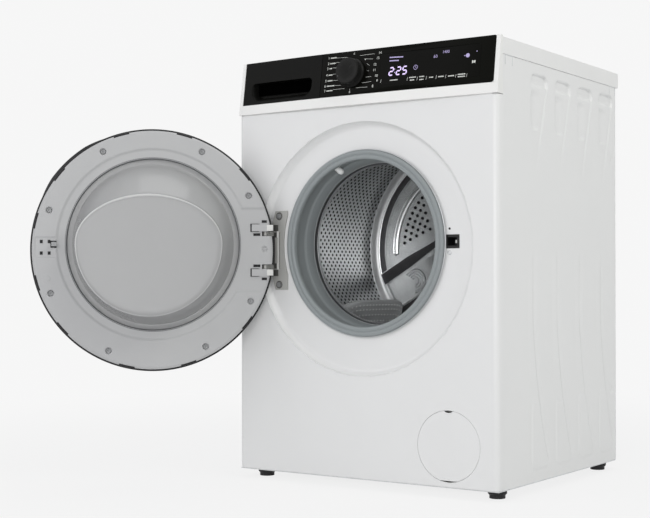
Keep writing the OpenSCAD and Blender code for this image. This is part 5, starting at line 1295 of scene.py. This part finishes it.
def run_tree(tree, base, values):
    """Runs a tree on a mesh with its inputs set by identifier, and returns a plain mesh."""
    obj = bpy.data.objects.new(tree.name, base)
    scene.collection.objects.link(obj)
    modifier = obj.modifiers.new(tree.name, "NODES")
    modifier.node_group = tree
    for item in tree.interface.items_tree:
        if item.in_out == "INPUT" and item.name in values:
            modifier[item.identifier] = values[item.name]
    mesh = bpy.data.meshes.new_from_object(obj.evaluated_get(bpy.context.evaluated_depsgraph_get()))
    obj.modifiers.remove(modifier)
    bpy.data.objects.remove(obj)
    return mesh


# the perforation: staggered rows of a small pattern round the wall, each facing the axis
perforation, given, target = node_tree("drum_perforation", {
    "Pattern": "Object", "Columns": "Int", "Rows": "Int", "Radius": "Float", "First Row": "Float",
    "Row Pitch": "Float", "Shift": "Float", "Material": "Material"})


def maths(operation, a, b=None):
    """A Math node of the perforation; each input is a socket or a number."""
    node = perforation.nodes.new("ShaderNodeMath")
    node.operation = operation
    for socket, value in zip(node.inputs, (a, b)):
        if isinstance(value, (int, float)):
            socket.default_value = value
        elif value is not None:
            perforation.links.new(value, socket)
    return node.outputs[0]


def vector(**parts):
    """A vector of the perforation, from sockets for some of its parts."""
    node = perforation.nodes.new("ShaderNodeCombineXYZ")
    for axis, value in parts.items():
        perforation.links.new(value, node.inputs[axis])
    return node.outputs[0]


index = perforation.nodes.new("GeometryNodeInputIndex").outputs[0]
row = maths("FLOOR", maths("DIVIDE", index, given["Columns"]))
column = maths("SUBTRACT", index, maths("MULTIPLY", row, given["Columns"]))
stagger = maths("MULTIPLY", maths("FLOORED_MODULO", row, 2.0), 0.5)
place = maths("ADD", maths("ADD", column, stagger), given["Shift"])
angle = maths("MULTIPLY", maths("DIVIDE", place, given["Columns"]), 2 * math.pi)
cosine, sine = maths("COSINE", angle), maths("SINE", angle)
along = maths("ADD", given["First Row"], maths("MULTIPLY", row, given["Row Pitch"]))
line = perforation.nodes.new("GeometryNodeMeshLine")
perforation.links.new(maths("MULTIPLY", given["Columns"], given["Rows"]), line.inputs["Count"])
set_place = perforation.nodes.new("GeometryNodeSetPosition")
perforation.links.new(line.outputs["Mesh"], set_place.inputs["Geometry"])
perforation.links.new(
    vector(X=maths("MULTIPLY", cosine, given["Radius"]), Y=along,
           Z=maths("ADD", maths("MULTIPLY", sine, given["Radius"]), PORT_Z * mm)),
    set_place.inputs["Position"])
copy_pattern(perforation, given, target, set_place.outputs[0],
             vector(X=maths("MULTIPLY", cosine, -1.0), Z=maths("MULTIPLY", sine, -1.0)))


def small_turning(name, profile, count):
    """A small turned pattern about Z, kept out of the scene, for trees to repeat."""
    mesh = turned(name, profile, lambda u, v, h: (u * mm, v * mm, h * mm), count, False)
    return bpy.data.objects.new(name, mesh)


COLUMNS, ROWS, ROW_PITCH = 96, 39, 7.5
hole_rim = small_turning("hole_rim", [(4.7, -0.15), (3.9, 0.3), (3.1, 0.1)], 8)
hole_disc = small_turning("hole_disc", [(0.001, 0.18), (3.15, 0.18), (3.15, -0.2)], 8)
pressed_dot = small_turning("pressed_dot", [(2.4, -0.1), (1.7, 0.35), (0.001, 0.6)], 8)
values = {"Columns": COLUMNS, "Rows": ROWS, "Radius": (DRUM_R - 0.1) * mm, "First Row": (WALL_Y + 29) * mm + front_y,
          "Row Pitch": ROW_PITCH * mm}
# Each hole is a dark disc of painted shade where the wall would be open, ringed by a stainless rim, with stainless dots
# between.
for name, pattern, shift, material in (
        ("drum_hole_rims", hole_rim, 0.0, stainless), ("drum_holes", hole_disc, 0.0, hole_dark),
        ("drum_dots", pressed_dot, 0.5, stainless)):
    inputs = {**values, "Pattern": pattern, "Shift": shift, "Material": material}
    add_piece(name, run_tree(perforation, bpy.data.meshes.new(name), inputs), "drum", material, smooth=70)

# the rear disc, with a painted highlight on its corner and painted shade in its groove
back_profile = [
    (0.01, 417), (20, 417), (27, 419.4), (56, 420), (66, 424.4), (74, 425), (208, 425), (211, 425.3), (213, 426.5),
    (227, 426.5), (228.5, 425.4), (232, 424.6), (237.2, 420.6), (241.4, 410.5), (241.8, 410.5), (241.8, 426.9),
    (0.01, 426.9)]
corner_profile = [(228.6, 425.2), (232, 424.2), (236.9, 420.3), (240.9, 410.6), (241.3, 410.7), (237.3, 420.8),
                  (232, 424.9), (228.6, 425.6)]
groove_profile = [(213.4, 426.4), (214.4, 425.9), (226, 425.9), (227.4, 426.4)]
stainless_back = finish("stainless_rear", (0.80, 0.815, 0.82), 0.25, metallic=0.95, grain=150, tone=0.10, relief=0.14,
                        cloud=40)
corner_steel = finish("corner_steel", (0.86, 0.875, 0.88), 0.4, metallic=0.45, grain=300, tone=0.05, relief=0.02)
groove_steel = finish("groove_steel", (0.12, 0.12, 0.125), 0.45, metallic=0.7, grain=300, tone=0.1)
for name, profile, material, replaced, smooth in (
        ("drum_rear_disc", back_profile, stainless_back, ["drum_back"], 40),
        ("drum_corner_ring", corner_profile, corner_steel, [], 50),
        ("drum_rear_groove", groove_profile, groove_steel, [], 32)):
    add_piece(name, turned(name, profile, round_port, 200), "drum", material, replaced, smooth)


def on_back(radius, angle, depth, width=0.0):
    """A place on the drum's rear disc at a radius and a turn in degrees, with the depth counted forward."""
    a = math.radians(angle)
    return (radius * math.cos(a) - width * math.sin(a), DRUM_BACK - 0.2 - depth,
            PORT_Z + radius * math.sin(a) + width * math.cos(a))


copies, given, target = node_tree("copies_at_points", {"Pattern": "Object", "Material": "Material", "Facing": "Vector"})
copy_pattern(copies, given, target, given["Geometry"], given["Facing"])


def repeat(name, pattern, places, material):
    """Copies of a small pattern at places, all facing the front, as one piece of the drum."""
    base = bpy.data.meshes.new(name)
    base.from_pydata([Vector(p) for p in places], [], [])
    mesh = run_tree(copies, base, {"Pattern": pattern, "Material": material, "Facing": (0, -1, 0)})
    add_piece(name, mesh, "drum", material, smooth=40)


# three clusters of drain holes between the arms, each a dark disc of painted shade
HOLE_ROWS, HOLE_FIRST_R, HOLE_ROW_STEP, HOLE_SPACING, DEGREES = (9, 7, 5, 3, 1), 160, 14.5, 14.2, 57.3
cluster = []
for sector in range(3):
    for k, per_row in enumerate(HOLE_ROWS):
        radius = HOLE_FIRST_R - HOLE_ROW_STEP * k
        for i in range(per_row):
            turn = 35 + 120 * sector + (i - (per_row - 1) / 2) * HOLE_SPACING * DEGREES / radius
            cluster.append(at_front(*on_back(radius, turn, 0.3)))
back_hole = small_turning("back_hole", [(0.001, 0.35), (3.6, 0.35), (3.6, -0.6), (0.001, -0.6)], 14)
repeat("drum_rear_holes", back_hole, cluster, hole_dark)


def pressed_arc(radius, from_angle, to_angle, section):
    """A rib pressed along an arc of the rear disc, with round ends."""
    rows = []
    length = math.radians(to_angle - from_angle) * radius
    for i in range(61):
        t = i / 60
        end = min(t, 1 - t) * length
        share = math.sqrt(max(0.0, 1 - max(0.0, 1 - end / 7.0) ** 2))
        a = from_angle + (to_angle - from_angle) * t
        rows.append([on_back(radius + w * share, a, h * share) for w, h in section])
    return strips(rows)


ARM_HIGH, ARM_EDGE, ARM_FLAT, FLANK_AT = 7.2, 62, 27, 47
RIPPLES_R, RIPPLE_FIRST, RIPPLE_PITCH = 146.0, 8.0, 6.0
channel = ((-8.5, -0.4), (-6.6, 1.7), (-4.6, 0.3), (-2.8, 0.8), (0, 3.2), (2.8, 0.8), (4.6, 0.3), (6.6, 1.7),
           (8.5, -0.4))
ripple = ((-2.6, -0.5), (-0.9, 3.4), (0.9, 3.4), (2.6, -0.5))
swirl = ((-3, -0.4), (-1.5, 1.3), (1.5, 1.3), (3, -0.4))


def arm_height(radius, across, sunk, proud):
    """How far a pressed arm stands out of the disc: flat in the middle, sloping to its edges and to its end."""
    high = ARM_HIGH * step(228, 214, radius)
    return sunk + (high + proud) * step(ARM_EDGE, ARM_FLAT, across)


points, faces = [], []
for sector in range(3):
    add_part(points, faces, *pressed_arc(182, 7 + 120 * sector, 65 + 120 * sector, channel))
    arm = 90 + 120 * sector
    rows = []
    for radius in (40 + 188 * (i / 40) for i in range(41)):
        rows.append([on_back(radius, arm, arm_height(radius, abs(w), -0.4, 0.4), w) for w in range(-62, 63, 4)])
    add_part(points, faces, *strips(rows))
    arm_cos, arm_sin = math.cos(math.radians(arm)), math.sin(math.radians(arm))
    for k in range(4):
        r = RIPPLE_FIRST + RIPPLE_PITCH * k
        rows = []
        for a in (math.radians(arm + 60 + 240 * i / 24) for i in range(25)):
            row = []
            for w, h in ripple:
                x = RIPPLES_R * arm_cos + (r + w) * math.cos(a)
                z = PORT_Z + RIPPLES_R * arm_sin + (r + w) * math.sin(a)
                fits = step(ARM_FLAT, ARM_FLAT - 5, abs(-x * arm_sin + (z - PORT_Z) * arm_cos))
                row.append((x, DRUM_BACK - 7.0 - h * fits, z))
            rows.append(row)
        add_part(points, faces, *strips(rows))
for k in range(9):
    rows = []
    for t in (i / 12 for i in range(13)):
        rows.append([on_back(22 + 30 * t, k * 40 + 50 * t, 4.6 + h, w) for w, h in swirl])
    add_part(points, faces, *strips(rows))
# Dark strips on both flanks of each arm are painted shade.
flank_points, flank_faces = [], []
for sector in range(3):
    for side in (-1, 1):
        rows = []
        for radius in (52 + 170 * i / 30 for i in range(31)):
            spread = 0.55 + 0.45 * step(60, 150, radius)
            row = []
            for across in (FLANK_AT + w * spread for w in (-13, -9, -5, -1, 3, 8, 13)):
                row.append(on_back(radius, 90 + 120 * sector, arm_height(radius, across, 0.5, 0.1), side * across))
            rows.append(row)
        add_part(flank_points, flank_faces, *strips(rows))
flanks = sheet_metal(mesh_of("drum_arm_flanks", flank_points, flank_faces), 0.25, 0.0)
add_piece("drum_arm_flanks", flanks, "drum", groove_steel, smooth=60)
add_piece("drum_rear_embossing", mesh_of("drum_rear_embossing", points, faces), "drum", stainless_back,
          smooth=50)

lifter_grey = finish("lifter_plastic", (0.66, 0.675, 0.675), 0.36, specular=0.5, grain=700, tone=0.04)
LIFTER_H, LIFTER_TURN, LIFTER_Y0, LIFTER_Y1, LIFTER_HALF = 74.0, 47.0, 126.0, 400.0, 34


def lifter_height(w, t):
    """Height of a lifter's back at w across and t along, both from -1 to 1."""
    bell = math.cos(min(1.0, abs(w)) * math.pi / 2) ** 1.5
    return LIFTER_H * bell * max(0.0, 1 - abs(t) ** 5) ** 0.6


def lifter_point(turn, w, t, lift=0.0):
    """A place on a lifter's back, lifted in from it."""
    a = math.radians(-90 - turn) + w * LIFTER_HALF / DRUM_R
    r = DRUM_R - 0.5 - (lifter_height(w, t) + lift)
    y = (LIFTER_Y0 + LIFTER_Y1) / 2 + t * (LIFTER_Y1 - LIFTER_Y0) / 2
    return (r * math.cos(a), y, PORT_Z + r * math.sin(a))


points, faces, beads = [], [], []
for turn in (LIFTER_TURN + 120 * i for i in range(3)):
    add_part(points, faces, *strips([[lifter_point(turn, -1 + k / 12, -1 + j / 20) for k in range(25)]
                                     for j in range(41)]))
    for t in (-0.8 + 0.09 * k for k in range(18)):
        for w in (-0.78, -0.65, -0.52, -0.39, -0.26, 0.26, 0.39, 0.52, 0.65, 0.78):
            stagger = 0.045 if abs(w) in (0.65, 0.39) else 0.0
            beads.append(at_front(*lifter_point(turn, w, t + stagger, 0.4)))
add_piece("lifter_paddles", mesh_of("lifters", points, faces), "drum", lifter_grey, ["lifters"],
          smooth=60)
bead = small_turning("lifter_bead", [(0.001, 1.9), (1.4, 1.4), (1.9, 0), (1.4, -1.4), (0.001, -1.9)], 8)
repeat("lifter_beads", bead, beads,
       finish("bead_grey", (0.88, 0.89, 0.89), 0.35, tone=0.03))
dress(finish("cast_spider", (0.42, 0.43, 0.44), 0.5, metallic=0.8, grain=300, tone=0.1, relief=0.1),
      "drum_spider", "drum_pulley")

# ---- Tub and what hangs on it: glass-filled plastic halves, cast weights, motor, heater and belt.
# The tub hangs on springs from the side panels and stands on friction dampers.
tub_plastic = finish("tub_plastic", (0.50, 0.51, 0.52), 0.6, grain=350, tone=0.05, relief=0.08)
dress(tub_plastic, "tub_front", "tub_rear")
dress(finish("concrete_weight", (0.33, 0.325, 0.31), 0.85, specular=0.2, grain=160, tone=0.14, relief=0.4, cloud=40),
      "counterweight_front", "counterweight_top")
dress(finish("motor_steel", (0.10, 0.105, 0.11), 0.42, metallic=0.5, grain=500, tone=0.08), "motor")
dress(finish("heater_tube", (0.35, 0.34, 0.32), 0.35, metallic=0.9, grain=500, tone=0.12), "heater")
dress(zinc, "tub_bolts", "bearings", "damper_rods", "motor_pulley")
black_rubber = finish("black_rubber", (0.022, 0.022, 0.023), 0.6, specular=0.3, grain=600, tone=0.12, relief=0.08)
dress(black_rubber, "drive_belt", "fill_hose", "cord_gland")
# each of these is fixed to the cabinet at one end and to the tub at the other
FIXED = 8 * mm
for node, name, slot, material, hangs in (
        ("suspension_springs", "spring_coils", "zinc_steel", zinc, True),
        ("dispenser_hose", "dispenser_hose_rubber", "rubber_black", black_rubber, True),
        ("sump_hose", "sump_hose_rubber", "rubber_black", black_rubber, False)):
    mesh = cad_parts[node].data.copy()
    heights = [vertex.co.z for vertex in mesh.vertices]
    high, low = Vector((0, 0, max(heights) - FIXED)), Vector((0, 0, min(heights) + FIXED))
    add_piece(name, mesh, "cabinet", material, [node], bends=(high, low) if hangs else (low, high))
dress(finish("damper_black", (0.04, 0.041, 0.043), 0.45, grain=500, tone=0.1), "damper_cylinders")

# ---- Water and power: valve, pump and drain hose, and the electronics box under the worktop.
# The filter sits behind a round flap at the lower right of the front.
dress(moulded_grey, "inlet_valve", "control_box", "transit_plugs")
dress(finish("pump_plastic", (0.30, 0.33, 0.35), 0.5, grain=400, tone=0.06, relief=0.06), "drain_pump")
dress(finish("drain_hose_grey", (0.34, 0.345, 0.35), 0.55, grain=400, tone=0.05, relief=0.08), "drain_hose")
FLAP_EDGE, NOTCH_HALF, NOTCH_DEEP, NOTCH_ANGLE, FOOT_CUT, BEZEL_BEHIND = 66.3, 8.5, 3.6, 7.4, 2.4, 1.3
foot = FLAP_Z - FLAP_EDGE + FOOT_CUT
notch_z = FLAP_Z + FLAP_EDGE * math.cos(math.radians(NOTCH_ANGLE))
flap_outline = []
for a in (math.radians(90 + NOTCH_ANGLE + (360 - 2 * NOTCH_ANGLE) * i / 180) for i in range(181)):
    flap_outline.append((FLAP_X + FLAP_EDGE * math.cos(a), max(foot, FLAP_Z + FLAP_EDGE * math.sin(a))))
for a in (math.pi * i / 12 for i in range(1, 12)):
    flap_outline.append((FLAP_X + NOTCH_HALF * math.cos(a), notch_z - NOTCH_DEEP * math.sin(a)))
verts, tris = flat_fill([flap_outline], lambda x, z: math.hypot(x - FLAP_X, z - FLAP_Z) < FLAP_EDGE
                        and math.hypot((x - FLAP_X) / NOTCH_HALF, (z - notch_z) / NOTCH_DEEP) > 0.97)
flap_mesh = face_forward(mesh_of("flap", [(v.x, 0.0, v.y) for v in verts], tris))
flap_mesh = with_modifiers(flap_mesh, wall(2.0, even=False), rounding(0.55))
add_piece("pump_flap_disc", flap_mesh, "flap", enamel, ["pump_flap"], smooth=48, weighted=True)
tongue_z = FLAP_Z + FLAP_EDGE
tongue = box_mesh("flap_tongue", ((FLAP_X - 6, 1.6, tongue_z - 12), (FLAP_X + 6, 10, tongue_z - 9)), bevel=0.2)
add_piece("flap_tongue", tongue, "flap", white_plastic)
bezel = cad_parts["pump_bezel"].data.copy()
for vertex in bezel.vertices:
    vertex.co.y = max(vertex.co.y, front_y + BEZEL_BEHIND * mm)
add_piece("pump_bezel_moulding", bezel, "cabinet", white_plastic, ["pump_bezel"], smooth=35)
eased("filter_cap", "filter", matt_black, 1.2, 3)

# ---- Feet: black rubber pads on threaded stems, each with a lock nut under the floor frame.
# Their height is set with a spanner from below.
eased("feet", "cabinet", black_rubber, 0.8, 2)
